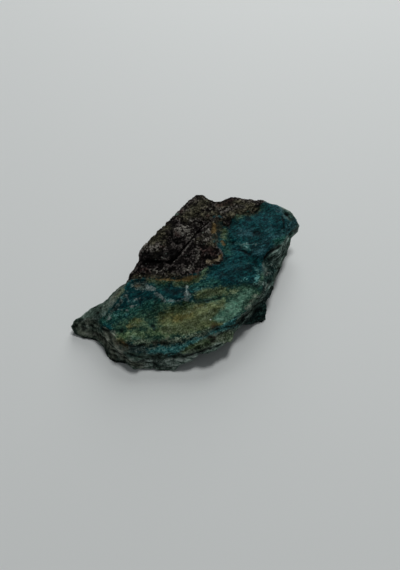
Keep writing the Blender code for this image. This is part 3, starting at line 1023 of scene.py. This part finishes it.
@dataclass
class MineralMap:
    """How deep each point of the skin lies within each mineral, in millimetres."""

    traces: Mapping[Mineral, tuple[Trace, ...]] = field(default_factory=lambda: TRACES)
    far: float = 6.0
    under: float = 8.0
    upper_side: tuple[float, float] = (0.05, 0.25)
    ragged_floor: float = 4.0
    floor_swell: float = 14.0
    floor_fade: float = 1.5

    def depth(self, mineral: Mineral, skin: Skin) -> Array:
        """Measure one mineral over the whole skin.

        Args:
            mineral: The mineral.
            skin: The surface.

        Returns:
            Depth within the mineral's outline, negative outside it.
        """
        depth = np.full(len(skin.points), -self.far)
        for trace in self.traces[mineral]:
            within = self.within(trace, skin)
            depth = np.minimum(depth, -within) if trace.gap else np.maximum(depth, within)
        return np.clip(depth, -self.far, self.far)

    def within(self, trace: Trace, skin: Skin) -> Array:
        """Measure one trace, held to the upper side or to its height.

        Args:
            trace: The trace.
            skin: The surface.

        Returns:
            Depth within the trace, negative outside it.
        """
        if trace.area:
            depth = inside(skin.points, trace.places)
        else:
            depth = trace.reach - from_line(skin.points, trace.places)
        if trace.above is not None:
            swell = fractal(skin.points, self.floor_swell, 2, seed=20)
            floor = trace.above + self.ragged_floor * swell
            return np.minimum(depth, (skin.points[:, 2] - floor) / self.floor_fade)
        if len(trace.places[0]) == 2:
            return depth - self.under * (1 - skin.facing(*self.upper_side))
        return depth


# --- Finishes -----------------------------------------------------------------------------------


def linear(hex_code: str) -> Colour:
    """Turn an sRGB hex colour to the linear values that the shader takes.

    Args:
        hex_code: Six digits, two for each of red, green and blue.

    Returns:
        The linear colour, opaque.
    """
    parts = [int(hex_code[i : i + 2], 16) / 255 for i in (0, 2, 4)]
    red, green, blue = (
        p / 12.92 if p <= 0.04045 else ((p + 0.055) / 1.055) ** 2.4 for p in parts
    )
    return red, green, blue, 1.0


class Pattern(Enum):
    """The patterns that vary a finish."""

    GRAIN = "grain"
    STREAK = "streak"
    BEDS = "beds"
    TOPS = "tops"
    WEB = "web"
    MEADOW = "meadow"


@dataclass(frozen=True)
class Finish:
    """One mineral as it shows on a broken face.

    dark, body and light are its tones in sRGB hex. edge and specks are how many millimetres its
    outline wanders in broad and in fine steps, blur over how many it fades, and most is the
    largest share that it covers.
    """

    name: str
    dark: str
    body: str
    light: str
    pattern: Pattern = Pattern.GRAIN
    rough: float = 0.6
    edge: float = 4.0
    blur: float = 0.8
    most: float = 1.0
    specks: float = 2.0


# The finishes are named for how they look. Each one lies over those before it.

# The rock round the turquoise, broken and weathered: grey-green and dull, with a web of veins.
RIM_ROCK = Finish("weathered_rim_rock", "070F0B", "42534A", "828F87", Pattern.WEB, 0.75)
FINISHES: dict[Mineral, Finish] = {
    # Turquoise, a phosphate of copper, broken and never cut or polished. Its grains are too fine
    # to see and scatter the light, so a break looks even and waxy. Copper makes it blue, and iron
    # greener.
    Mineral.TEAL: Finish(
        "teal_turquoise", "00151A", "023236", "134B4C", Pattern.STREAK, 0.55, 3.5, 0.9
    ),
    Mineral.SEA: Finish(
        "sea_blue_turquoise", "001F25", "053A40", "20585A", Pattern.STREAK, 0.5, 8, 4
    ),
    Mineral.JADE: Finish(
        "blue_green_turquoise", "072A23", "17463C", "3F6C5E", Pattern.STREAK, 0.55, 8, 4, 0.85
    ),
    Mineral.STEEL: Finish(
        "steel_blue_turquoise", "06272B", "1B4147", "365E64", Pattern.STREAK, 0.5, 5, 1.6, 0.8
    ),
    Mineral.GREEN: Finish(
        "green_turquoise", "0B2C1F", "28463A", "4E6D55", Pattern.MEADOW, 0.6, 6, 3
    ),
    # Weathered crusts on the turquoise. They are soft and powdery, so they look pale and dull, and
    # they fade into what lies beside them.
    Mineral.LIME: Finish(
        "lime_crust", "2A4022", "5C7652", "89A07A", Pattern.GRAIN, 0.7, 7, 2.6, 0.9
    ),
    Mineral.OCHRE: Finish(
        "ochre_crust", "424F33", "646E49", "858F68", Pattern.MEADOW, 0.75, 7, 3.6, 0.95
    ),
    Mineral.HONEY: Finish(
        "honey_crust", "4A471F", "656034", "827C4E", Pattern.GRAIN, 0.75, 6, 2.6, 0.8
    ),
    Mineral.OLIVE: Finish(
        "olive_crust", "1C2A12", "425537", "6A785E", Pattern.STREAK, 0.75, 6, 2, 0.85
    ),
    Mineral.SAGE: Finish(
        "sage_crust", "404F2F", "647353", "8D9B7A", Pattern.GRAIN, 0.75, 6, 2.4, 0.85
    ),
    # Pale turquoise, and a flake of it: fine, even faces with a faint sheen.
    Mineral.MINT: Finish(
        "mint_turquoise", "487564", "5E8973", "77A18D", Pattern.STREAK, 0.6, 4, 2.4, 0.95
    ),
    Mineral.FLAKE: Finish(
        "mint_flake", "1C4745", "3C6E6B", "74A6A2", Pattern.GRAIN, 0.5, 1.2, 0.6, 0.95, 1
    ),
    # Green rock of mixed grains, broken: dark, with a dull face. Along the crevice and over the low lump
    # on the right it is also painted shade.
    Mineral.FOREST_AND_SHADE: Finish(
        "forest_green_rock_and_painted_shade", "010B0A", "0E2422", "3A5750", Pattern.GRAIN, 0.6, 5, 1.4
    ),
    # Fresh turquoise along its bands and breaks, the cleanest and most saturated.
    Mineral.BRIGHT: Finish(
        "bright_turquoise", "154748", "3A7473", "6EA29E", Pattern.STREAK, 0.5, 3, 1, 0.9
    ),
    # A chalky, loose crust with dark specks in it: powdery, so it has no gloss at all.
    Mineral.CHALK: Finish(
        "chalky_crust", "1B261E", "52604D", "94A18D", Pattern.GRAIN, 0.8, 5, 2, 0.85, 4
    ),
    # Dense, deep blue turquoise, whose close grain gives it the smoothest break.
    Mineral.NAVY: Finish(
        "navy_turquoise", "000608", "04191E", "123338", Pattern.GRAIN, 0.45, 5, 2, 0.75
    ),
    # Grey and brown rock, split along its thin beds: a banded, rough and dull face. Pewter and drab are
    # drawn lighter, as painted light on the front and left walls, which face away from the lamps.
    Mineral.SLATE: Finish(
        "slate_grey_rock", "10201F", "4A5E57", "83958E", Pattern.BEDS, 0.75, 4, 1.6, 0.9
    ),
    Mineral.PEWTER: Finish(
        "pewter_grey_beds_with_painted_light", "1C2A26", "66786F", "A2B0A8", Pattern.BEDS, 0.75, 4, 1.6, 0.9
    ),
    Mineral.DRAB: Finish(
        "drab_brown_rock_with_painted_light", "23291F", "6B7163", "9A9E92", Pattern.WEB, 0.8, 5, 2.5, 0.85
    ),
    # The dark host rock and its stains, broken. Its coarse grains stand up, and their tops are drawn paler
    # and the gaps between them black, as painted light on the tops and painted shade in the gaps. It
    # returns little light and has no gloss.
    Mineral.HOST: Finish(
        "dark_host_rock", "030202", "1B1817", "4A4643", Pattern.TOPS, 0.85, 3, 0.6
    ),
    Mineral.UMBER: Finish(
        "umber_host_rock", "131209", "38372A", "5E5B48", Pattern.GRAIN, 0.8, 7, 4, 0.8
    ),
    Mineral.ASH: Finish(
        "ash_grey_rock", "0E0B09", "42403B", "6C6963", Pattern.TOPS, 0.8, 4, 1.4, 0.92, 1
    ),
    Mineral.PLUM: Finish(
        "plum_iron_stain", "060303", "1E1210", "3A2B28", Pattern.TOPS, 0.7, 5, 1.4, 0.8
    ),
    # Tan and rusty crusts: earthy, thin and without gloss.
    Mineral.TAN: Finish(
        "tan_crust", "3F382B", "665D4B", "8A816D", Pattern.GRAIN, 0.8, 2, 0.9, 0.9, 1
    ),
    Mineral.RUST: Finish(
        "rust_crust", "4F4124", "5F4F30", "705D3D", Pattern.GRAIN, 0.8, 1.5, 0.9, 0.9, 0.8
    ),
    # Quartz, in veins and grains. It breaks in small smooth faces, so it is the glossiest. The glint
    # finish is a painted highlight: near-white colour where a few grains would flash. The walls of its
    # thin seams are duller, and the pale line along the crack's lower lip is a painted highlight.
    Mineral.QUARTZ: Finish(
        "grey_quartz", "2E4240", "566663", "87928F", Pattern.GRAIN, 0.35, 3, 0.9, 0.85, 0.8
    ),
    Mineral.PALE_LINE: Finish(
        "pale_lines_and_painted_lip_highlight", "2A2927", "5B5A54", "8F8F88", Pattern.GRAIN, 0.7, 0.8, 0.4, 0.75, 0.6
    ),
    Mineral.PAINTED_GLINT: Finish(
        "painted_quartz_glint", "C8D0CC", "DDE4E0", "F2F5F3", Pattern.GRAIN, 0.2, 0.3, 0.2, 0.9, 0
    ),
    # Painted shade: near-black colour along the cracks and seams, in the moats and pits, along the front
    # step and under the overhang, where shade falls.
    Mineral.SEAM: Finish(
        "painted_crack_shade", "000000", "030303", "0B0B0A", Pattern.GRAIN, 0.7, 0.8, 0.5, 0.9, 0.6
    ),
    Mineral.PAINTED_SHADE: Finish("painted_black_shade", "000000", "050504", "141312", Pattern.GRAIN, 0.7, 4, 1, 0.85),
}


def add_node(
    tree: Tree,
    kind: str,
    settings: Mapping[str, Any] | None = None,
    inputs: Mapping[int | str, Any] | None = None,
) -> bpy.types.Node:
    """Add a shader node.

    Args:
        tree: The node tree.
        kind: The node's type without its "ShaderNode" prefix.
        settings: Properties of the node.
        inputs: For each input, by name or number, a value or the output to link.

    Returns:
        The node.
    """
    node = tree.nodes.new("ShaderNode" + kind)
    for name, value in (settings or {}).items():
        setattr(node, name, value)
    for key, value in (inputs or {}).items():
        if isinstance(value, Socket):
            tree.links.new(value, node.inputs[key])
        else:
            node.inputs[key].default_value = value
    return node


@dataclass
class StoneMaterial:
    """Raw turquoise in its host rock, broken and unpolished.

    It is waxy where the turquoise is dense and dull where it is weathered or crusted.
    """

    name: str = SLOT

    # Sizes in millimetres of what varies the colour. The real grain of turquoise is far too fine
    # to see, so the finest size stands for its specks and pits and is drawn coarser than they
    # are, so that it shows.
    grain: float = 0.6
    mottle: float = 1.9
    cloud: float = 6.5
    streak: float = 0.75
    streak_stretch: float = 3.5
    bed: float = 0.9
    bed_squash: float = 0.8
    bed_spread: float = 6.0
    bed_dip: float = math.radians(-6)
    seam_spread: float = 2.6
    seam_band: float = 0.06
    web_tones: tuple[float, float] = (0.6, 0.45)
    painted_top_light_and_gap_shade: tuple[float, float] = (0.33, 0.6)
    contrast: float = 0.1

    # Single flecks: their distance in millimetres, the part of it that one takes, and how
    # strongly they gather. The pale flecks are partly pale mineral specks and partly painted glints.
    fleck_size: tuple[float, float] = (0.06, 0.2)
    fleck_crowd: tuple[float, float] = (0.42, 0.6)
    fleck_fields: tuple[tuple[str, str, float, float], ...] = (
        ("pale_specks_and_glints", "mottle", 2.3, 0.0),
        ("dark_flecks", "cloud", 2.1, 40.0),
    )
    fleck_tones: tuple[tuple[str, str, float], ...] = (
        ("dark_flecks", "040606", 0.6),
        ("pale_specks_and_glints", "93A79A", 0.2),
    )

    # Painted shade darkens the hollows and a painted highlight lightens the edges that stand proud. Both
    # are full at this depth in millimetres.
    hollow_full: float = 0.1
    hollow_shade: float = 0.75
    painted_edge_highlight: float = 1.45

    # Fine pits roughen the break. One index serves turquoise, about 1.61 to 1.65, and quartz,
    # 1.54. The porous, dusty break scatters most of its gloss, so little of it is left.
    tooth: float = 0.6
    tooth_depth: float = 0.5
    tooth_strength: float = 0.8
    index: float = 1.6
    specular: float = 0.03

    def build(self) -> bpy.types.Material:
        """Make the material.

        Returns:
            The material, named for its slot.
        """
        material = bpy.data.materials.new(self.name)
        material.use_nodes = True
        tree = material.node_tree
        shader = tree.nodes["Principled BSDF"]
        patterns = self.patterns(tree)
        colour, rough = self.mixed(tree, patterns)
        # Painted shade in the hollows and a painted highlight on proud edges, read from the hollow
        # attribute.
        colour = self.wear_and_painted_shade(tree, self.flecked(tree, colour, patterns))
        bump = add_node(
            tree, "Bump", None,
            {
                "Strength": self.tooth_strength, "Distance": self.tooth_depth * MM,
                "Height": patterns["tooth"],
            },
        )
        tree.links.new(colour, shader.inputs["Base Color"])
        tree.links.new(rough, shader.inputs["Roughness"])
        tree.links.new(bump.outputs["Normal"], shader.inputs["Normal"])
        shader.inputs["Specular IOR Level"].default_value = self.specular
        shader.inputs["IOR"].default_value = self.index
        return material

    def patterns(self, tree: Tree) -> Sockets:
        """Make the noise fields that all the finishes share.

        Args:
            tree: The node tree.

        Returns:
            The output of each field, by name.
        """
        coords = add_node(tree, "TexCoord").outputs["Object"]
        mm = add_node(
            tree, "VectorMath", {"operation": "SCALE"}, {0: coords, "Scale": 1 / MM}
        ).outputs[0]
        along = add_node(
            tree, "Mapping", {"vector_type": "TEXTURE"},
            {
                "Vector": mm, "Rotation": (0, 0, BED_TURN),
                "Scale": (self.streak_stretch, 1, 1),
            },
        ).outputs[0]
        level = add_node(
            tree, "Mapping", {"vector_type": "TEXTURE"},
            {
                "Vector": mm, "Rotation": (self.bed_dip, 0, BED_TURN),
                "Scale": (self.bed_spread, self.bed_spread, self.bed_squash),
            },
        ).outputs[0]
        # The coordinates, the size in millimetres, the finer octaves and how strong they are.
        fields = {
            "grain": (mm, self.grain, 2.0, 0.5),
            "mottle": (mm, self.mottle, 5.0, 0.68),
            "cloud": (mm, self.cloud, 3.0, 0.5),
            "streak": (along, self.streak, 2.0, 0.55),
            "beds": (level, self.bed, 2.0, 0.6),
            "tooth": (mm, self.tooth, 3.0, 0.8),
            "seams": (mm, self.seam_spread, 3.0, 0.55),
        }
        made = {}
        for name, (vector, size, detail, roughness) in fields.items():
            made[name] = add_node(
                tree, "TexNoise", None,
                {"Vector": vector, "Scale": 1 / size, "Detail": detail, "Roughness": roughness},
            ).outputs["Fac"]
        off = add_node(tree, "Math", {"operation": "SUBTRACT"}, {0: made["seams"], 1: MIDDLE})
        apart = add_node(tree, "Math", {"operation": "ABSOLUTE"}, {0: off.outputs[0]})
        made["web"] = add_node(
            tree, "MapRange", None,
            {
                "Value": apart.outputs[0], "From Min": 0, "From Max": self.seam_band,
                "To Min": self.web_tones[0], "To Max": self.web_tones[1],
            },
        ).outputs[0]
        for name, crowd, gap, shift in self.fleck_fields:
            made[name] = self.flecks(tree, mm, made[crowd], gap, shift)
        return made

    def flecks(
        self, tree: Tree, mm: Socket, crowd: Socket, apart: float, shift: float
    ) -> Socket:
        """Scatter small round flecks.

        Args:
            tree: The node tree.
            mm: The coordinates in millimetres.
            crowd: Noise that says where the flecks gather.
            apart: How far the flecks are from one another.
            shift: How far to move the pattern.

        Returns:
            1 on a fleck and 0 off it.
        """
        placed = add_node(
            tree, "VectorMath", {"operation": "ADD"}, {0: mm, 1: (shift, shift, shift)}
        ).outputs[0]
        near = add_node(
            tree, "TexVoronoi", None, {"Vector": placed, "Scale": 1 / apart}
        ).outputs["Distance"]
        spot = add_node(
            tree, "MapRange", None,
            {
                "Value": near, "From Min": self.fleck_size[0], "From Max": self.fleck_size[1],
                "To Min": 1, "To Max": 0,
            },
        ).outputs[0]
        dense = add_node(
            tree, "MapRange", None,
            {"Value": crowd, "From Min": self.fleck_crowd[0], "From Max": self.fleck_crowd[1]},
        ).outputs[0]
        return add_node(tree, "Math", {"operation": "MULTIPLY"}, {0: spot, 1: dense}).outputs[0]

    def mixed(self, tree: Tree, patterns: Sockets) -> tuple[Socket, Socket]:
        """Lay the finishes over the rim rock, each within its outline.

        Args:
            tree: The node tree.
            patterns: The shared noise fields.

        Returns:
            The outputs for colour and roughness.
        """
        tones = self.tones(tree, patterns)
        colour = self.toned(tree, RIM_ROCK, tones)
        rough: Any = RIM_ROCK.rough
        for mineral, finish in FINISHES.items():
            depth = add_node(tree, "Attribute", {"attribute_name": mineral.value}).outputs["Fac"]
            broad = add_node(
                tree, "Math", {"operation": "MULTIPLY_ADD"},
                {0: patterns["mottle"], 1: finish.edge, 2: depth},
            ).outputs[0]
            ragged = add_node(
                tree, "Math", {"operation": "MULTIPLY_ADD"},
                {0: patterns["grain"], 1: finish.specks, 2: broad},
            ).outputs[0]
            middle = (finish.edge + finish.specks) / 2
            cover = add_node(
                tree, "MapRange", {"interpolation_type": "SMOOTHSTEP"},
                {
                    "Value": ragged, "From Min": middle - finish.blur / 2,
                    "From Max": middle + finish.blur / 2, "To Max": finish.most,
                },
            ).outputs[0]
            colour = add_node(
                tree, "Mix", {"data_type": "RGBA"},
                {0: cover, COLOUR_UNDER: colour, COLOUR_OVER: self.toned(tree, finish, tones)},
            ).outputs[COLOUR_OUT]
            rough = add_node(
                tree, "Mix", {"data_type": "FLOAT"},
                {0: cover, VALUE_UNDER: rough, VALUE_OVER: finish.rough},
            ).outputs[0]
        return colour, rough

    def tones(self, tree: Tree, patterns: Sockets) -> dict[Pattern, Socket]:
        """Blend the noise fields into the patterns that finishes name.

        Args:
            tree: The node tree.
            patterns: The shared noise fields.

        Returns:
            The output of each pattern, 0 where it is dark and 1 where it is light.
        """
        # The host grain's tops are lightened and its gaps darkened: painted light and painted shade that
        # follow its relief.
        tops = add_node(tree, "Attribute", {"attribute_name": "tops"}).outputs["Fac"]
        gaps = add_node(
            tree, "MapRange", None,
            {"Value": tops, "To Min": self.painted_top_light_and_gap_shade[0], "To Max": self.painted_top_light_and_gap_shade[1]},
        ).outputs[0]
        # Two fields, the share of the second, and the share of the broad clouds over both.
        recipes = {
            Pattern.GRAIN: (patterns["grain"], patterns["mottle"], 0.55, 0.15),
            Pattern.STREAK: (patterns["streak"], patterns["grain"], 0.45, 0.15),
            Pattern.BEDS: (patterns["beds"], patterns["grain"], 0.35, 0.15),
            Pattern.TOPS: (gaps, patterns["grain"], 0.5, 0.15),
            Pattern.WEB: (patterns["web"], patterns["mottle"], 0.6, 0.35),
            Pattern.MEADOW: (patterns["streak"], patterns["grain"], 0.5, 0.3),
        }
        made = {}
        for pattern, (first, second, share, clouded) in recipes.items():
            mean = add_node(
                tree, "Mix", {"data_type": "FLOAT"},
                {0: share, VALUE_UNDER: first, VALUE_OVER: second},
            ).outputs[0]
            cloudy = add_node(
                tree, "Mix", {"data_type": "FLOAT"},
                {0: clouded, VALUE_UNDER: mean, VALUE_OVER: patterns["cloud"]},
            ).outputs[0]
            made[pattern] = add_node(
                tree, "MapRange", None,
                {
                    "Value": cloudy, "From Min": MIDDLE - self.contrast,
                    "From Max": MIDDLE + self.contrast,
                },
            ).outputs[0]
        return made

    def toned(self, tree: Tree, finish: Finish, tones: dict[Pattern, Socket]) -> Socket:
        """Colour a finish from its three tones.

        Args:
            tree: The node tree.
            finish: The finish.
            tones: The patterns that finishes name.

        Returns:
            The colour.
        """
        ramp = add_node(tree, "ValToRGB", {"label": finish.name}, {0: tones[finish.pattern]})
        stops = ramp.color_ramp.elements
        stops[0].color, stops[1].color = linear(finish.dark), linear(finish.light)
        stops.new(MIDDLE).color = linear(finish.body)
        return ramp.outputs["Color"]

    def flecked(self, tree: Tree, colour: Socket, patterns: Sockets) -> Socket:
        """Lay pale and dark flecks over a colour.

        Args:
            tree: The node tree.
            colour: The colour.
            patterns: The shared noise fields.

        Returns:
            The flecked colour.
        """
        for name, tone, share in self.fleck_tones:
            cover = add_node(
                tree, "Math", {"operation": "MULTIPLY"}, {0: patterns[name], 1: share}
            ).outputs[0]
            colour = add_node(
                tree, "Mix", {"data_type": "RGBA"},
                {0: cover, COLOUR_UNDER: colour, COLOUR_OVER: linear(tone)},
            ).outputs[COLOUR_OUT]
        return colour

    def wear_and_painted_shade(self, tree: Tree, colour: Socket) -> Socket:
        """Paint shade into the hollows and a highlight onto the edges that stand proud.

        Args:
            tree: The node tree.
            colour: The colour.

        Returns:
            The colour with painted shade and highlight.
        """
        hollow = add_node(tree, "Attribute", {"attribute_name": "hollow"}).outputs["Fac"]
        shade = add_node(
            tree, "MapRange", None,
            {
                "Value": hollow, "From Min": -self.hollow_full, "From Max": self.hollow_full,
                "To Min": self.painted_edge_highlight, "To Max": 1 - self.hollow_shade,
            },
        ).outputs[0]
        return add_node(
            tree, "VectorMath", {"operation": "SCALE"}, {0: colour, "Scale": shade}
        ).outputs[0]


# --- Pieces -------------------------------------------------------------------------------------


@dataclass
class TurquoiseStone:
    """The stone itself, one piece from its underside to its host rock."""

    name: str = "raw_turquoise_stone"
    cell: float = 0.37
    calm: int = 2
    joined: float = 1e-4
    hollow_rounds: int = 4
    relief: Relief = field(default_factory=Relief)
    minerals: MineralMap = field(default_factory=MineralMap)
    material: StoneMaterial = field(default_factory=StoneMaterial)

    def build(self, solid: bpy.types.Object) -> bpy.types.Object:
        """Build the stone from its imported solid.

        Args:
            solid: The solid, which is left as it is.

        Returns:
            The finished stone.
        """
        stone = bpy.data.objects.new(self.name, self.millimetre_copy(solid.data))
        bpy.context.scene.collection.objects.link(stone)
        self.divide(stone)
        skin = Skin(stone.data)
        self.relief.work(skin, self.minerals.depth(Mineral.HOST, skin))
        skin.points[:, 2] = np.maximum(skin.points[:, 2], 0.0)
        skin.settle()
        for mineral in Mineral:
            skin.keep(mineral.value, self.minerals.depth(mineral, skin))
        # This measure of the relief drives the painted shade in hollows and painted highlight on edges.
        skin.keep("hollow", skin.hollow(self.hollow_rounds))
        skin.keep("tops", self.relief.host_tops(skin.points))
        stone.data.transform([[MM, 0, 0, 0], [0, MM, 0, 0], [0, 0, MM, 0], [0, 0, 0, 1]])
        stone.data.shade_smooth()
        stone.data.materials.append(self.material.build())
        return stone

    def millimetre_copy(self, mesh: bpy.types.Mesh) -> bpy.types.Mesh:
        """Copy a mesh of metres into one of millimetres, with its split corners joined.

        Args:
            mesh: The mesh, which is left as it is.

        Returns:
            The copy.
        """
        shape = bmesh.new()
        shape.from_mesh(mesh)
        bmesh.ops.scale(shape, vec=(1 / MM,) * 3, verts=shape.verts)
        bmesh.ops.remove_doubles(shape, verts=shape.verts, dist=self.joined)
        copy = bpy.data.meshes.new(self.name)
        shape.to_mesh(copy)
        shape.free()
        return copy

    def divide(self, stone: bpy.types.Object) -> None:
        """Divide the stone's skin into even cells and calm the corners of the coarse faces.

        Args:
            stone: The stone, which takes the divided mesh.
        """
        cells = stone.modifiers.new("fine_cells", "REMESH")
        cells.mode = "VOXEL"
        cells.voxel_size = self.cell
        calm = stone.modifiers.new("calm_corners", "SMOOTH")
        calm.iterations = self.calm
        graph = bpy.context.evaluated_depsgraph_get()
        stone.data = bpy.data.meshes.new_from_object(stone.evaluated_get(graph))
        stone.modifiers.clear()


@dataclass
class Studio:
    """A pale table under soft light, and the camera."""

    # The camera's aim, its angle over the table in degrees, its distance, lens and sensor.
    aim: Place = (5.03, -2.55, 10.0)
    elevation: float = 60.0
    distance: float = 253.3
    lens: float = 40.0
    sensor: float = 36.0
    near_m: float = 0.01

    # The table, which lies a hair under the stone, and the room's even light.
    table_m: float = 1.6
    table_gap: float = 0.02
    table_tone: str = "D3D6D5"
    table_rough: float = 0.6
    table_specular: float = 0.1
    room_tone: str = "DEE3E6"
    room_strength: float = 0.165

    # Each panel's name, side and power in watts, and where it hangs.
    panels_m: tuple[tuple[str, float, float, Place], ...] = (
        ("small_panel", 0.3, 8.3, (0.24, 0.58, 1.24)),
        ("low_window", 1.2, 21.5, (0.25, 1.6, 0.8)),
    )

    def build(self) -> None:
        """Make the table, the lights and the camera."""
        self.table()
        self.camera()
        self.lights()

    def table(self) -> None:
        """Make the table top: a pale matt laminate, pressed, so it shows no grain and no gloss."""
        half = self.table_m / 2
        mesh = bpy.data.meshes.new("table_top")
        corners = [(-half, -half, 0), (half, -half, 0), (half, half, 0), (-half, half, 0)]
        mesh.from_pydata(corners, [], [(0, 1, 2, 3)])
        table = bpy.data.objects.new("table_top", mesh)
        table.location.z = -self.table_gap * MM
        bpy.context.scene.collection.objects.link(table)
        material = bpy.data.materials.new("pale_laminate")
        material.use_nodes = True
        shader = material.node_tree.nodes["Principled BSDF"]
        shader.inputs["Base Color"].default_value = linear(self.table_tone)
        shader.inputs["Roughness"].default_value = self.table_rough
        shader.inputs["Specular IOR Level"].default_value = self.table_specular
        table.data.materials.append(material)
        table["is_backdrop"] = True

    def camera(self) -> None:
        """Set the camera looking down on the stone from its thin front edge."""
        camera = bpy.data.objects.new("camera", bpy.data.cameras.new("camera"))
        tilt = math.radians(self.elevation)
        out = Vector((0.0, -math.cos(tilt), math.sin(tilt)))
        camera.location = (Vector(self.aim) + out * self.distance) * MM
        camera.rotation_euler = (math.pi / 2 - tilt, 0.0, 0.0)
        camera.data.lens = self.lens
        camera.data.sensor_width = self.sensor
        camera.data.clip_start = self.near_m
        bpy.context.scene.collection.objects.link(camera)
        bpy.context.scene.camera = camera

    def lights(self) -> None:
        """Hang a small panel above and a broad low window behind, in an evenly lit pale room."""
        for name, size, energy, place in self.panels_m:
            panel = bpy.data.lights.new(name, "AREA")
            panel.shape = "SQUARE"
            panel.size, panel.energy = size, energy
            light = bpy.data.objects.new(name, panel)
            light.location = place
            light.rotation_euler = (-Vector(place)).to_track_quat("-Z", "Y").to_euler()
            bpy.context.scene.collection.objects.link(light)
        world = bpy.data.worlds.new("pale_room")
        bpy.context.scene.world = world
        world.use_nodes = True
        back = world.node_tree.nodes["Background"]
        back.inputs["Color"].default_value = linear(self.room_tone)
        back.inputs["Strength"].default_value = self.room_strength
        bpy.context.scene.view_settings.view_transform = "Standard"


def main() -> None:
    """Build the stone on its table."""
    logging.basicConfig(level=logging.INFO, format="%(message)s")
    for obj in list(bpy.data.objects):
        bpy.data.objects.remove(obj)
    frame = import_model()
    cad_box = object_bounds()
    Studio().build()
    stone = TurquoiseStone().build(frame["nodes"][CAD_NODE])
    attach(stone, BODY)
    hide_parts(CAD_NODE)
    log.info("%s: %d faces", stone.name, len(stone.data.polygons))
    boxes = {"cad": cad_box, "visual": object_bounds()}
    boxes = {name: [list(corner) for corner in box] for name, box in boxes.items()}


if __name__ == "__main__":
    main()
